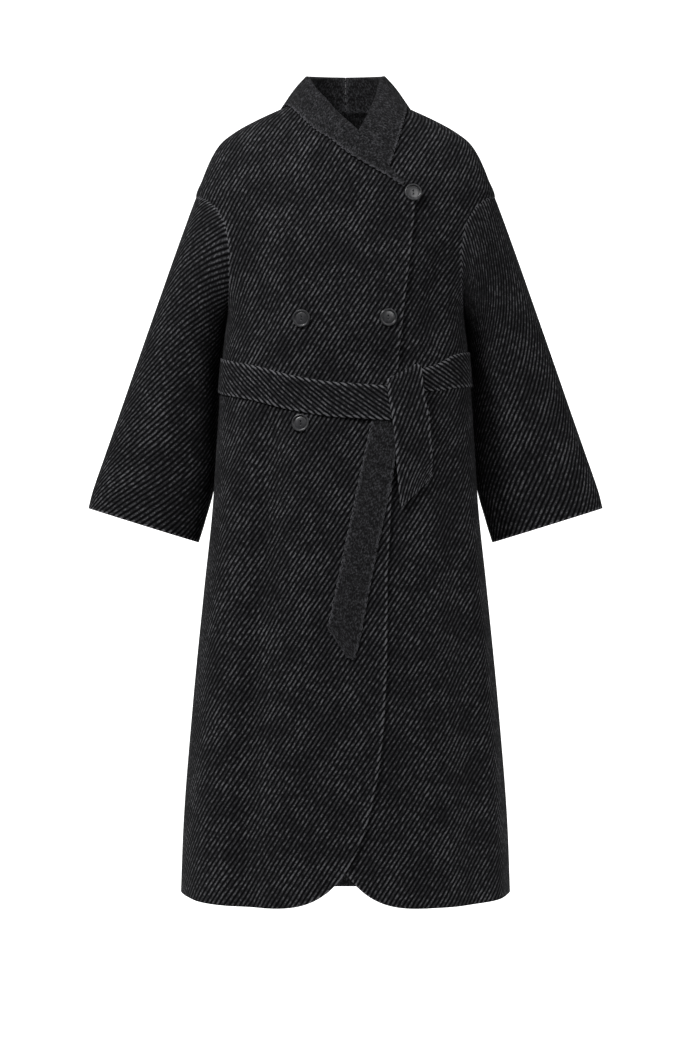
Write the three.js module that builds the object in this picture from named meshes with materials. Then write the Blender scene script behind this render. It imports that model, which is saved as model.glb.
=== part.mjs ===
// A long double-breasted coat in thick double-faced wool, worn shape with nobody in it.
// It is built the way it is sewn: two overlapping fronts, a back, two sleeves, a shawl collar
// in two halves, a tied belt and its buttons. Every piece of cloth is a thin wall with its real hollow.
// Millimetres, +Z up, the front faces -Y. The origin is the middle of the neck base, where the coat
// is carried, so the coat hangs below it and the collar stands above it.
// "Right" and "left" are the wearer's: the right front is at -X and lies on top.
import * as THREE from "three";

// Driving sizes
const CLOTH = 3; // one layer of the double-faced wool
const SEAM = 0.2; // each piece stops this far short of a shared seam line
const HEM_Z = -1186;
const HEM_SIDE_RISE = 12; // the hem is this much higher at the side seams
const ARMHOLE = { topZ: -136, middleZ: -200, bottomZ: -312, halfDepth: 78, topPower: 2.6, bottomPower: 2 };
const ARMHOLE_STEPS = 12; // rows of cloth between the top and the bottom of an armhole
const OVERLAP_LIFT = 2.1; // how far each front moves away from the common surface where they overlap
const COLLAR_LIFT = 6; // more room for the left collar where it passes under the right front
const BELT = { width: 50, clear: 0.6, knotLift: 4 };
const BUTTON = { radius: 12.8, rimWidth: 2.3, thick: 4.2, dish: 1.3 };

// Horizontal sections of the coat's outer surface: half width, depth in front and behind, squareness
const SECTIONS = [
  { z: 4, width: 77, front: 57, back: 72, power: 2.0 },
  { z: 0, width: 87, front: 62, back: 76, power: 2.0 },
  { z: -8, width: 105, front: 67, back: 81, power: 2.0 },
  { z: -20, width: 131, front: 74, back: 89, power: 2.05 },
  { z: -38, width: 164, front: 83, back: 98, power: 2.1 },
  { z: -56, width: 187, front: 91, back: 106, power: 2.15 },
  { z: -74, width: 199, front: 98, back: 112, power: 2.2 },
  { z: -92, width: 207.5, front: 103, back: 116, power: 2.25 },
  { z: -110, width: 214.5, front: 107, back: 119, power: 2.3 },
  { z: -136, width: 223.5, front: 113, back: 123, power: 2.3 },
  { z: -162, width: 221, front: 118, back: 126, power: 2.3 },
  { z: -190, width: 212.5, front: 123, back: 129, power: 2.3 },
  { z: -250, width: 193, front: 130, back: 131, power: 2.3 },
  { z: -312, width: 177, front: 132, back: 129, power: 2.35 },
  { z: -336, width: 179.6, front: 130.7, back: 125.8, power: 2.37 },
  { z: -360, width: 182.6, front: 129, back: 122, power: 2.4 },
  { z: -384, width: 184.2, front: 125.5, back: 118, power: 2.4 },
  { z: -425, width: 187.6, front: 125.5, back: 118, power: 2.4 },
  { z: -465, width: 190.3, front: 129, back: 121.5, power: 2.4 },
  { z: -515, width: 193.6, front: 132, back: 127, power: 2.4 },
  { z: -595, width: 198.6, front: 135, back: 133, power: 2.4 },
  { z: -725, width: 212, front: 140, back: 140, power: 2.4 },
  { z: -905, width: 229.6, front: 145, back: 147, power: 2.4 },
  { z: -1085, width: 243.2, front: 149, back: 153, power: 2.4 },
  { z: -1190, width: 247, front: 150, back: 155, power: 2.4 },
];

// Soft folds: angle round the body from the front (minus is the wearer's right), heights, depth, half width
const FOLDS = [
  { angle: -32, top: -440, bottom: -1300, depth: 11, half: 7.5 },
  { angle: -55, top: -520, bottom: -1300, depth: -5, half: 10 },
  { angle: 47, top: -470, bottom: -1300, depth: 5, half: 8 },
  { angle: 62, top: -600, bottom: -1300, depth: -4, half: 9 },
  { angle: 44, top: -185, bottom: -385, depth: 8, half: 7.5 },
  { angle: -38, top: -215, bottom: -385, depth: 4, half: 8 },
  { angle: 152, top: -430, bottom: -1300, depth: 8, half: 9 },
  { angle: -150, top: -450, bottom: -1300, depth: 7, half: 9 },
  { angle: 180, top: -560, bottom: -1300, depth: -5, half: 12 },
  { angle: 146, top: -200, bottom: -390, depth: 6, half: 10 },
  { angle: -143, top: -190, bottom: -390, depth: 6, half: 10 },
];

// The right front's edge as the coat is buttoned: height and distance right of the middle
const FRONT_EDGE = [
  { z: -136, x: 98.5 },
  { z: -160, x: 101 },
  { z: -228, x: 94.7 },
  { z: -325, x: 83.6 },
  { z: -384, x: 78 },
  { z: -520, x: 70 },
  { z: -610, x: 66 },
  { z: -700, x: 61.5 },
];
// Below the straight edge it swings round to the lowest point of the hem
const FRONT_CORNER = { startZ: -700, endX: -115, drop: 3.1, sweep: 2.8 };

// The neck seam of the right front, from the shoulder to the corner by the top button
const NECK_SEAM = [
  { z: 4, x: -77 },
  { z: 1, x: -76 },
  { z: -5, x: -68 },
  { z: -14, x: -56 },
  { z: -27, x: -42 },
  { z: -42, x: -26 },
  { z: -58, x: -8 },
  { z: -74, x: 11 },
  { z: -90, x: 31 },
  { z: -106, x: 51 },
  { z: -120, x: 68.5 },
  { z: -130, x: 81.5 },
  { z: -136, x: 96 },
];
// The left front's neck seam, mirrored: it lies open wider, and its hidden end runs lower
const LEFT_NECK_SEAM = [
  { z: 4, x: -77 },
  { z: 1, x: -74 },
  { z: -5, x: -63 },
  { z: -14, x: -55 },
  { z: -27, x: -48 },
  { z: -42, x: -40 },
  { z: -58, x: -31.5 },
  { z: -74, x: -23 },
  { z: -90, x: -14 },
  { z: -106, x: -3 },
  { z: -120, x: 9 },
  { z: -136, x: 26 },
  { z: -160, x: 60 },
  { z: -190, x: 96 },
];
const NECK_ROWS = [3.4, 1, -5, -14, -27, -42, -58, -74, -90, -106, -120, -130];

const radians = THREE.MathUtils.degToRad;
const clamp = THREE.MathUtils.clamp;
const lerp = THREE.MathUtils.lerp;

// 0 at a, 1 at b, smooth in between
function ease(a, b, value) {
  const t = clamp((value - a) / (b - a), 0, 1);
  return t * t * (3 - 2 * t);
}

// A smooth curve through a table's rows that never overshoots (monotone cubic)
function curveThrough(rows, across, column) {
  const sorted = [...rows].sort((p, q) => p[across] - q[across]);
  const x = sorted.map((r) => r[across]);
  const y = sorted.map((r) => r[column]);
  const slope = x.slice(1).map((v, i) => (y[i + 1] - y[i]) / (v - x[i]));
  const tangent = y.map((_, i) => {
    if (i === 0) return slope[0];
    if (i === y.length - 1) return slope[i - 1];
    if (slope[i - 1] * slope[i] <= 0) return 0;
    const before = x[i] - x[i - 1];
    const after = x[i + 1] - x[i];
    const w1 = 2 * after + before;
    const w2 = after + 2 * before;
    return (w1 + w2) / (w1 / slope[i - 1] + w2 / slope[i]);
  });
  return (value) => {
    const v = clamp(value, x[0], x[x.length - 1]);
    let i = 0;
    while (i < x.length - 2 && v > x[i + 1]) i++;
    const h = x[i + 1] - x[i];
    const t = (v - x[i]) / h;
    const t2 = t * t;
    const t3 = t2 * t;
    return (
      (2 * t3 - 3 * t2 + 1) * y[i] +
      (t3 - 2 * t2 + t) * h * tangent[i] +
      (3 * t2 - 2 * t3) * y[i + 1] +
      (t3 - t2) * h * tangent[i + 1]
    );
  };
}

const widthAt = curveThrough(SECTIONS, "z", "width");
const frontAt = curveThrough(SECTIONS, "z", "front");
const backAt = curveThrough(SECTIONS, "z", "back");
const powerAt = curveThrough(SECTIONS, "z", "power");
const edgeXAt = curveThrough(FRONT_EDGE, "z", "x");
const neckXAt = curveThrough(NECK_SEAM, "z", "x");
const leftNeckXAt = curveThrough(LEFT_NECK_SEAM, "z", "x");

const signedPower = (value, power) => Math.sign(value) * Math.abs(value) ** power;

// How far the folds push the surface in at an angle and height
function foldDepth(angle, z) {
  const degrees = THREE.MathUtils.radToDeg(angle);
  let depth = 0;
  for (const fold of FOLDS) {
    const away = (((degrees - fold.angle + 540) % 360) - 180) / fold.half;
    const along = ease(fold.bottom - 1, fold.bottom + 60, z) * (1 - ease(fold.top - 70, fold.top, z));
    depth += fold.depth * Math.exp(-away * away) * along;
  }
  return depth;
}

// The bare surface: a rounded section at every height. Angle 0 is the front, plus is the wearer's left.
function bareSurface(angle, z) {
  const e = 2 / powerAt(z);
  const c = Math.cos(angle);
  const depth = c > 0 ? frontAt(z) : backAt(z);
  return new THREE.Vector3(widthAt(z) * signedPower(Math.sin(angle), e), -depth * signedPower(c, e), z);
}

// The outward direction of the surface, from two short steps along it
function outward(angle, z) {
  const step = 0.02;
  const rise = 1.5;
  const round = bareSurface(angle + step, z).sub(bareSurface(angle - step, z));
  const up = bareSurface(angle, Math.min(z + rise, 4)).sub(bareSurface(angle, z - rise));
  return round.cross(up).normalize();
}

// A point moved out from the folded surface by some distance
function skin(angle, z, out) {
  return bareSurface(angle, z).addScaledVector(outward(angle, z), out - foldDepth(angle, z));
}

// The angle of a point on the front half that lies x to the side of the middle
function angleAtX(x, z) {
  const share = Math.min(Math.abs(x) / widthAt(z), 1);
  return Math.sign(x) * Math.asin(share ** (powerAt(z) / 2));
}

// Distance to the line under which the left collar passes below the right front
function collarCrossing(x, z) {
  const from = new THREE.Vector2(5, -66);
  const along = new THREE.Vector2(55, -42);
  const here = new THREE.Vector2(x, z).sub(from);
  const t = clamp(here.dot(along) / along.lengthSq(), 0, 1);
  return here.sub(along.multiplyScalar(t)).length();
}

// The right front's inner end at a height: its neck seam, or its front edge below that
const innerEndX = (z) => (z > FRONT_EDGE[0].z ? neckXAt(z) : frontEdgeX(z));
const leftInnerEndX = (z) => (z > -190 ? leftNeckXAt(z) : frontEdgeX(z));

// How far the outer face of each front stands off the common surface
function rightFrontLift(x, z) {
  const under = -Math.max(leftInnerEndX(z), 45);
  return OVERLAP_LIFT * ease(under - 45, under - 5, x) + COLLAR_LIFT * (1 - ease(22, 80, collarCrossing(x, z)));
}
function leftFrontLift(x, z) {
  return -OVERLAP_LIFT * (1 - ease(5, 60, x - innerEndX(z)));
}

// The right front's edge, with its big rounded corner at the hem
function frontEdgeX(z) {
  if (z > FRONT_CORNER.startZ) return edgeXAt(z);
  const down = clamp((FRONT_CORNER.startZ - z) / (FRONT_CORNER.startZ - HEM_Z), 0, 1);
  const share = (1 - down ** FRONT_CORNER.drop) ** (1 / FRONT_CORNER.sweep);
  return lerp(FRONT_CORNER.endX, edgeXAt(FRONT_CORNER.startZ), share);
}

// How far the armhole opens to the front and to the back at a height
function armholeDepth(z, grow) {
  const above = z > ARMHOLE.middleZ;
  const reach = above ? ARMHOLE.topZ - ARMHOLE.middleZ : ARMHOLE.middleZ - ARMHOLE.bottomZ;
  const power = above ? ARMHOLE.topPower : ARMHOLE.bottomPower;
  const share = Math.abs(z - ARMHOLE.middleZ) / (reach + grow);
  return share < 1 ? (ARMHOLE.halfDepth + grow) * (1 - share ** power) ** (1 / power) : 0;
}

// The height and depth of a point of the armhole by its turn from the shoulder, grown by some distance
function armholeRim(turn, grow) {
  const above = Math.cos(turn) > 0;
  const reach = above ? ARMHOLE.topZ - ARMHOLE.middleZ : ARMHOLE.middleZ - ARMHOLE.bottomZ;
  const e = 2 / (above ? ARMHOLE.topPower : ARMHOLE.bottomPower);
  return {
    z: ARMHOLE.middleZ + (reach + grow) * signedPower(Math.cos(turn), e),
    depth: (ARMHOLE.halfDepth + grow) * signedPower(Math.sin(turn), e),
  };
}

// The angle from the middle at which a panel ends: at the armhole's rim, or at the side seam
function sideAngle(z, isBack, grow) {
  const depth = isBack ? backAt(z) : frontAt(z);
  const opening = armholeDepth(z, grow) / depth;
  const rim = Math.acos(clamp(opening, 0, 1) ** (powerAt(z) / 2));
  return rim - (SEAM / depth) * 0.9;
}

// The rows of a panel from the neck to the hem, by their height at the side and at the inner end.
// Beside the armhole the side follows its rim while the inner end goes down evenly.
function panelRows(last) {
  const rows = NECK_ROWS.map((z) => ({ side: z, inner: z }));
  for (let i = 0; i <= ARMHOLE_STEPS; i++) {
    const side = armholeRim((Math.PI * i) / ARMHOLE_STEPS, i % ARMHOLE_STEPS ? 0 : 0.6).z;
    rows.push({ side, inner: lerp(ARMHOLE.topZ, ARMHOLE.bottomZ - 0.6, i / ARMHOLE_STEPS) });
  }
  const below = [-336, -362, -384, -404, -425, -445, -470, -510, -570, -640, -720, -800, -880, -950, -1010];
  return rows.concat([...below, ...last].map((z) => ({ side: z, inner: z })));
}

// A closed solid between a grid of outer points and a grid of inner points.
// With round set, the last column joins the first, and the solid is a tube.
function between(outer, inner, round = false) {
  const rows = outer.length;
  const columns = outer[0].length;
  const positions = [...outer.flat(), ...inner.flat()].flatMap((p) => [p.x, p.y, p.z]);
  const half = rows * columns;
  const index = [];
  const quad = (a, b, c, d) => index.push(a, b, c, a, c, d);
  const at = (r, c) => r * columns + (c % columns);
  const spans = round ? columns : columns - 1;
  for (let r = 0; r < rows - 1; r++)
    for (let c = 0; c < spans; c++) {
      quad(at(r, c), at(r + 1, c), at(r + 1, c + 1), at(r, c + 1));
      quad(half + at(r, c), half + at(r, c + 1), half + at(r + 1, c + 1), half + at(r + 1, c));
    }
  for (let c = 0; c < spans; c++) {
    quad(at(0, c), at(0, c + 1), half + at(0, c + 1), half + at(0, c));
    quad(at(rows - 1, c + 1), at(rows - 1, c), half + at(rows - 1, c), half + at(rows - 1, c + 1));
  }
  for (let r = 0; r < rows - 1 && !round; r++) {
    quad(at(r, columns - 1), at(r + 1, columns - 1), half + at(r + 1, columns - 1), half + at(r, columns - 1));
    quad(at(r + 1, 0), at(r, 0), half + at(r, 0), half + at(r + 1, 0));
  }
  return closed(positions, index);
}

// A geometry with its faces turned outwards
function closed(positions, index) {
  let volume = 0;
  const p = (i) => new THREE.Vector3(positions[3 * i], positions[3 * i + 1], positions[3 * i + 2]);
  for (let i = 0; i < index.length; i += 3)
    volume += p(index[i]).dot(p(index[i + 1]).cross(p(index[i + 2])));
  if (volume < 0)
    for (let i = 0; i < index.length; i += 3) [index[i + 1], index[i + 2]] = [index[i + 2], index[i + 1]];
  const geometry = new THREE.BufferGeometry();
  geometry.setAttribute("position", new THREE.Float32BufferAttribute(positions, 3));
  geometry.setIndex(index);
  geometry.computeVertexNormals();
  return geometry;
}

// The same grid on the other side of the middle
const mirrored = (grid) => grid.map((row) => row.map((p) => new THREE.Vector3(-p.x, p.y, p.z)));

// The collar is a strip folded along its roll. Behind the neck its stations go by the turn from the front,
// and on the fronts by the height of the neck seam. The roll is the top of the fold and the edge is the
// free edge lying on the coat. Both tables are for the wearer's right; the left half is mirrored.
const COLLAR_BEHIND = [
  { turn: 180, rollX: 0, rollY: 58, rollZ: 52, edgeZ: -16 },
  { turn: 150, rollX: -28, rollY: 50, rollZ: 51.4, edgeZ: -15 },
  { turn: 120, rollX: -47.5, rollY: 29, rollZ: 49, edgeZ: -9 },
  { turn: 90, rollX: -55, rollY: 1, rollZ: 45, edgeZ: -1 },
];
const RIGHT_COLLAR_FRONT = [
  { seamZ: 3.4, rollX: -54.6, rollY: -7, rollZ: 44.2, edgeTurn: 82, edgeZ: -1.5 },
  { seamZ: 1, rollX: -53, rollY: -17, rollZ: 40, edgeX: -87.5, edgeZ: -3 },
  { seamZ: -5, rollX: -48, rollY: -33, rollZ: 31, edgeX: -80, edgeZ: -9 },
  { seamZ: -14, rollX: -41, rollY: -47, rollZ: 19, edgeX: -68, edgeZ: -22 },
  { seamZ: -27, rollX: -29, rollY: -61, rollZ: 5, edgeX: -54, edgeZ: -37.5 },
  { seamZ: -42, rollX: -13, rollY: -76, rollZ: -15.5, edgeX: -39, edgeZ: -52 },
  { seamZ: -58, rollX: 5, rollZ: -36.5, edgeX: -20.5, edgeZ: -68 },
  { seamZ: -74, rollX: 24, rollZ: -55.5, edgeX: 1, edgeZ: -84.5 },
  { seamZ: -90, rollX: 42, rollZ: -76.5, edgeX: 22.5, edgeZ: -98 },
  { seamZ: -106, rollX: 59.5, rollZ: -97.5, edgeX: 45, edgeZ: -111.5 },
  { seamZ: -120, rollX: 75.5, rollZ: -115.5, edgeX: 65, edgeZ: -124 },
  { seamZ: -130, rollX: 87, rollZ: -126.8, edgeX: 78.5, edgeZ: -133.5 },
];
const LEFT_COLLAR_FRONT = [
  { seamZ: 3.4, rollX: -54, rollY: -8, rollZ: 43.5, edgeTurn: 82, edgeZ: -1.5 },
  { seamZ: 1, rollX: -49, rollY: -26, rollZ: 28, edgeX: -89.5, edgeZ: -7 },
  { seamZ: -5, rollX: -44, rollY: -42, rollZ: 10, edgeX: -88, edgeZ: -18 },
  { seamZ: -14, rollX: -38.5, rollY: -55, rollZ: -5, edgeX: -85.5, edgeZ: -30 },
  { seamZ: -27, rollX: -32, rollY: -70, rollZ: -20.5, edgeX: -82, edgeZ: -43 },
  { seamZ: -42, rollX: -24.4, rollZ: -35.5, edgeX: -77.8, edgeZ: -57.5 },
  { seamZ: -58, rollX: -16, rollZ: -51.4, edgeX: -72.5, edgeZ: -75 },
  { seamZ: -74, rollX: -8, rollZ: -67.5, edgeX: -67, edgeZ: -92 },
  { seamZ: -90, rollX: 0.5, rollZ: -83.5, edgeX: -61.5, edgeZ: -108 },
];
const FLAT_BEND = 1.75; // the roll's radius where the collar lies flat
const NECK_BEND = 3.2; // and where it stands up behind the neck
const FLAT_OVER = 2.4; // how far the middle of the free edge's cloth lies off the coat in front
const NECK_OVER = 3.2; // and behind the neck
const HALF_BACK = 8; // spans of the back from its middle to the side

// The stations of half a collar: seam, roll, edge, the stand's direction and the mitred inner corner
function collarStations(front, seamXAt, lift, side) {
  const onCoat = (x, z, out) => skin(angleAtX(x, z), z, lift(-side * x, z) + out);
  const stations = [];
  for (let i = 0; i <= HALF_BACK; i++) {
    const turn = 180 - (90 * i) / HALF_BACK;
    const row = (column) => curveThrough(COLLAR_BEHIND, "turn", column)(turn);
    stations.push({
      seam: bareSurface(-radians(turn), NECK_ROWS[0]),
      panelOut: outward(-radians(turn), NECK_ROWS[0]),
      roll: new THREE.Vector3(row("rollX"), row("rollY"), row("rollZ")),
      edge: skin(-radians(turn), row("edgeZ"), NECK_OVER),
      bend: NECK_BEND,
    });
  }
  for (const row of front) {
    const flat = ease(10, -40, row.seamZ);
    const over = lerp(NECK_OVER, FLAT_OVER, flat);
    const seamX = seamXAt(row.seamZ);
    stations.push({
      seam: onCoat(seamX, row.seamZ, 0),
      panelOut: outward(angleAtX(seamX, row.seamZ), row.seamZ),
      roll: row.rollY === undefined ? onCoat(row.rollX, row.rollZ, 0) : new THREE.Vector3(row.rollX, row.rollY, row.rollZ),
      edge: row.edgeTurn ? skin(-radians(row.edgeTurn), row.edgeZ, over) : onCoat(row.edgeX, row.edgeZ, over),
      bend: lerp(NECK_BEND, FLAT_BEND, flat),
      onCoat: row.rollY === undefined ? onCoat : null,
    });
  }
  stations.forEach((s, i) => {
    const before = stations[Math.max(i - 1, 0)].seam;
    const after = stations[Math.min(i + 1, stations.length - 1)].seam;
    s.along = after.clone().sub(before).normalize();
    if (i === 0) s.along.set(-1, 0, 0);
    s.up = s.roll.clone().sub(s.seam).normalize();
    s.out = s.along.clone().cross(s.up).normalize();
    const sum = s.panelOut.clone().add(s.out);
    s.mitre = sum.multiplyScalar(-CLOTH / (1 + s.panelOut.dot(s.out)));
    if (i === HALF_BACK) s.mitre.y = 0;
  });
  return stations;
}

// Half a collar as a closed folded strip
function collarHalf(stations, side) {
  const outer = [];
  const inner = [];
  stations.forEach((s, i) => {
    const middle = [];
    const normal = [];
    const standTop = s.roll.clone().addScaledVector(s.up, -s.bend - CLOTH / 2).addScaledVector(s.out, -s.bend);
    const heel = s.seam.clone().addScaledVector(s.mitre, 0.5).addScaledVector(s.up, SEAM);
    const standOut = s.along.clone().cross(standTop.clone().sub(heel)).normalize();
    for (const t of [0, 0.5, 1]) {
      middle.push(heel.clone().lerp(standTop, t));
      normal.push(standOut.clone().negate());
    }
    const centre = standTop.clone().addScaledVector(s.out, s.bend);
    for (const turn of [50, 90, 130]) {
      const away = s.out.clone().multiplyScalar(-Math.cos(radians(turn))).addScaledVector(s.up, Math.sin(radians(turn)));
      middle.push(centre.clone().addScaledVector(away, s.bend));
      normal.push(away);
    }
    const fallTop = standTop.clone().addScaledVector(s.out, 2 * s.bend);
    const fall = s.edge.clone().sub(fallTop);
    const fallOut = fall.clone().cross(s.along).normalize();
    if (fallOut.dot(s.out) < 0) fallOut.negate();
    for (const t of [0, 0.33, 0.67, 1]) {
      const p = fallTop.clone().addScaledVector(fall, t);
      if (s.onCoat && t > 0) p.copy(s.onCoat(p.x, p.z, FLAT_OVER));
      else if (!s.onCoat) p.addScaledVector(fallOut, 0.14 * fall.length() * t * (1 - t));
      middle.push(p);
      normal.push(fallOut);
    }
    const faceA = middle.map((p, n) => p.clone().addScaledVector(normal[n], CLOTH / 2));
    const faceB = middle.map((p, n) => p.clone().addScaledVector(normal[n], -CLOTH / 2));
    faceB[0] = s.seam.clone().addScaledVector(s.up, SEAM);
    faceA[0] = faceB[0].clone().add(s.mitre);
    if (i === 0) [...faceA, ...faceB].forEach((p) => (p.x = -SEAM));
    outer.push(faceA);
    inner.push(faceB);
  });
  return side < 0 ? between(outer, inner) : between(mirrored(outer), mirrored(inner));
}

const rightCollar = collarStations(RIGHT_COLLAR_FRONT, neckXAt, rightFrontLift, -1);
const leftCollar = collarStations(LEFT_COLLAR_FRONT, leftNeckXAt, leftFrontLift, 1);

// Where the columns of a front lie between its side and its inner end: closer together at the folds
const COLUMN_SHARES = [0, 0.087, 0.174, 0.243, 0.313, 0.374, 0.42, 0.465, 0.51, 0.555, 0.62, 0.69, 0.765, 0.84, 0.92, 1];

// The angle of a front's column in a row; share 0 is the side and 1 the neck seam or front edge
function columnAngle(side, share, row) {
  const innerX = side < 0 ? innerEndX(row.inner) : leftInnerEndX(row.inner);
  return -side * lerp(-sideAngle(row.side, false, SEAM), angleAtX(innerX, row.inner), share);
}
const level = (z) => ({ side: z, inner: z });

// A front panel: rows at each height, from the side seam or armhole to the neck seam or front edge.
// Side -1 is the wearer's right and +1 the left.
function frontPanel(side, lift, stations) {
  const columns = COLUMN_SHARES.length;
  const rows = panelRows([-1060, -1100, -1132, -1155, -1170, -1179.5, -1184.5, HEM_Z]);
  const outer = [];
  const inner = [];
  rows.forEach((row, r) => {
    const outerRow = [];
    const innerRow = [];
    const station = stations[Math.min(HALF_BACK + 1 + r, stations.length - 1)];
    const atNeck = r < stations.length - HALF_BACK - 1;
    for (let c = 0; c < columns; c++) {
      const z = lerp(row.side, row.inner, COLUMN_SHARES[c]);
      const angle = columnAngle(side, COLUMN_SHARES[c], row);
      const x = bareSurface(angle, z).x;
      const sideShare = Math.abs(x) / widthAt(z);
      const rise = HEM_SIDE_RISE * sideShare ** 6 * ease(-1000, HEM_Z, z);
      const out = lift(x, z);
      const p = skin(angle, z + rise, out);
      const q = skin(angle, z + rise, out - CLOTH);
      const onNeck = atNeck && (c === columns - 1 || r === 0);
      const mitre = r > 0 ? station.mitre : stations[HALF_BACK].mitre.clone().lerp(station.mitre, COLUMN_SHARES[c]);
      if (onNeck) q.copy(p).add(new THREE.Vector3(-side * mitre.x, mitre.y, mitre.z));
      if (onNeck && r > 0) {
        const away = outerRow[c - 1].clone().sub(p).setLength(SEAM);
        p.add(away);
        q.add(away);
      }
      outerRow.push(p);
      innerRow.push(q);
    }
    outer.push(outerRow);
    inner.push(innerRow);
  });
  return between(outer, inner);
}

// The back: one panel from side to side
function backPanel() {
  const columns = 2 * HALF_BACK + 1;
  const rows = panelRows([-1070, -1130, HEM_Z]);
  const outer = [];
  const inner = [];
  rows.forEach((row, r) => {
    const end = Math.PI - sideAngle(row.side, true, SEAM);
    const outerRow = [];
    const innerRow = [];
    for (let c = 0; c < columns; c++) {
      const angle = lerp(-end, end - 2 * Math.PI, c / (columns - 1));
      const z = lerp(row.side, row.inner, 1 - Math.abs(c / HALF_BACK - 1));
      const sideShare = Math.abs(bareSurface(angle, z).x) / widthAt(z);
      const rise = HEM_SIDE_RISE * sideShare ** 6 * ease(-1000, HEM_Z, z);
      const p = skin(angle, z + rise, 0);
      const q = skin(angle, z + rise, -CLOTH);
      if (r === 0) {
        const mitre = rightCollar[c <= HALF_BACK ? HALF_BACK - c : c - HALF_BACK].mitre;
        q.copy(p).add(new THREE.Vector3(c <= HALF_BACK ? mitre.x : -mitre.x, mitre.y, mitre.z));
      }
      outerRow.push(p);
      innerRow.push(q);
    }
    outer.push(outerRow);
    inner.push(innerRow);
  });
  return between(outer, inner);
}

// The right sleeve's rings: where the outer and the inner edge lie, and half its depth front to back
const SLEEVE = [
  { outerX: -223.5, outerZ: -136, innerX: -177, innerZ: -312, depth: 78, middleY: 0 },
  { outerX: -235, outerZ: -162, innerX: -179.5, innerZ: -322, depth: 78.5, middleY: 5 },
  { outerX: -248.6, outerZ: -197, innerX: -180.3, innerZ: -334, depth: 78, middleY: 21 },
  { outerX: -266.3, outerZ: -245, innerX: -181.2, innerZ: -351, depth: 75, middleY: 34 },
  { outerX: -289.1, outerZ: -308, innerX: -185, innerZ: -377, depth: 71, middleY: 42 },
  { outerX: -313.7, outerZ: -377, innerX: -188.5, innerZ: -423, depth: 65, middleY: 47 },
  { outerX: -339.2, outerZ: -450, innerX: -191.7, innerZ: -490, depth: 58, middleY: 50 },
  { outerX: -364.5, outerZ: -522, innerX: -197.5, innerZ: -564, depth: 50, middleY: 51 },
  { outerX: -382.3, outerZ: -573, innerX: -212, innerZ: -620, depth: 42, middleY: 52 },
  { outerX: -389.6, outerZ: -601, innerX: -222.1, innerZ: -653, depth: 37, middleY: 52 },
];
const SLEEVE_ROUND = 2 * ARMHOLE_STEPS;
const SLEEVE_CREASE = { angle: 62, half: 17, depth: 6 };

// A point of the armhole seam, by its angle round the sleeve: 0 is the shoulder, 90 the front
function armholePoint(turn, grow) {
  const { z, depth } = armholeRim(turn, grow);
  const share = Math.min(Math.abs(depth) / (depth >= 0 ? frontAt(z) : backAt(z)), 1);
  const power = powerAt(z);
  return new THREE.Vector3(-widthAt(z) * (1 - share ** power) ** (1 / power), -depth, z);
}

// The sleeve: a bent tube that opens from the armhole and hangs beside the body, with one soft crease
function sleeve(side) {
  const outer = SLEEVE.map((ring, k) => {
    const middle = new THREE.Vector3((ring.outerX + ring.innerX) / 2, ring.middleY, (ring.outerZ + ring.innerZ) / 2);
    const across = new THREE.Vector3((ring.outerX - ring.innerX) / 2, 0, (ring.outerZ - ring.innerZ) / 2);
    const share = 1 - ease(0, 3, k);
    return Array.from({ length: SLEEVE_ROUND }, (_, i) => {
      const turn = (2 * Math.PI * i) / SLEEVE_ROUND;
      const away = (THREE.MathUtils.radToDeg(turn) - SLEEVE_CREASE.angle) / SLEEVE_CREASE.half;
      const crease = SLEEVE_CREASE.depth * Math.exp(-away * away) * ease(0.4, 3, k) * (1 - ease(5, 8, k));
      const p = middle.clone().addScaledVector(across, Math.cos(turn));
      p.y -= Math.sin(turn) * ring.depth - crease * (side > 0 ? 1 : 0.4);
      return p.lerp(armholePoint(turn, -SEAM), share);
    });
  });
  outer[0].forEach((p, i) => p.addScaledVector(outer[1][i].clone().sub(p).normalize(), SEAM));
  const inner = outer.map((ring, k) =>
    ring.map((p, i) => {
      const round = ring[(i + 1) % SLEEVE_ROUND].clone().sub(ring[(i + SLEEVE_ROUND - 1) % SLEEVE_ROUND]);
      const before = outer[Math.max(k - 1, 0)][i];
      const after = outer[Math.min(k + 1, outer.length - 1)][i];
      const inward = round.cross(after.clone().sub(before)).normalize();
      return p.clone().addScaledVector(inward, CLOTH);
    }),
  );
  return side < 0 ? between(outer, inner, true) : between(mirrored(outer), mirrored(inner), true);
}

// The belt's middle line by the turn from the front, and its half width: on the wearer's right, and on
// the left, where it is gathered towards the knot
const BELT_RIGHT = [
  { turn: -90, z: -402, half: 25 },
  { turn: -42, z: -418.5, half: 25 },
  { turn: -20, z: -434, half: 25 },
  { turn: 0, z: -445, half: 25 },
  { turn: 17, z: -449, half: 25 },
  { turn: 27, z: -449, half: 24 },
];
const BELT_LEFT = [
  { turn: 31, z: -414, half: 15.5 },
  { turn: 37, z: -413, half: 17 },
  { turn: 46, z: -408, half: 20 },
  { turn: 56, z: -401, half: 23.5 },
  { turn: 70, z: -397, half: 25 },
  { turn: 90, z: -394, half: 25 },
];
const BELT_ACROSS = [-1, -0.35, 0.35, 1];

// One cross row of the belt: its outer points and its inner points
function beltRow(columnAt, z, half, lift) {
  const inner = [];
  const outer = [];
  for (const across of BELT_ACROSS) {
    const height = z + across * half;
    const angle = columnAt(height);
    const base = bareSurface(angle, height);
    const off = lift(base.x, height) + BELT.clear;
    inner.push(base.clone().addScaledVector(outward(angle, height), off));
    outer.push(base.addScaledVector(outward(angle, height), off + CLOTH));
  }
  return { inner, outer };
}

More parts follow.
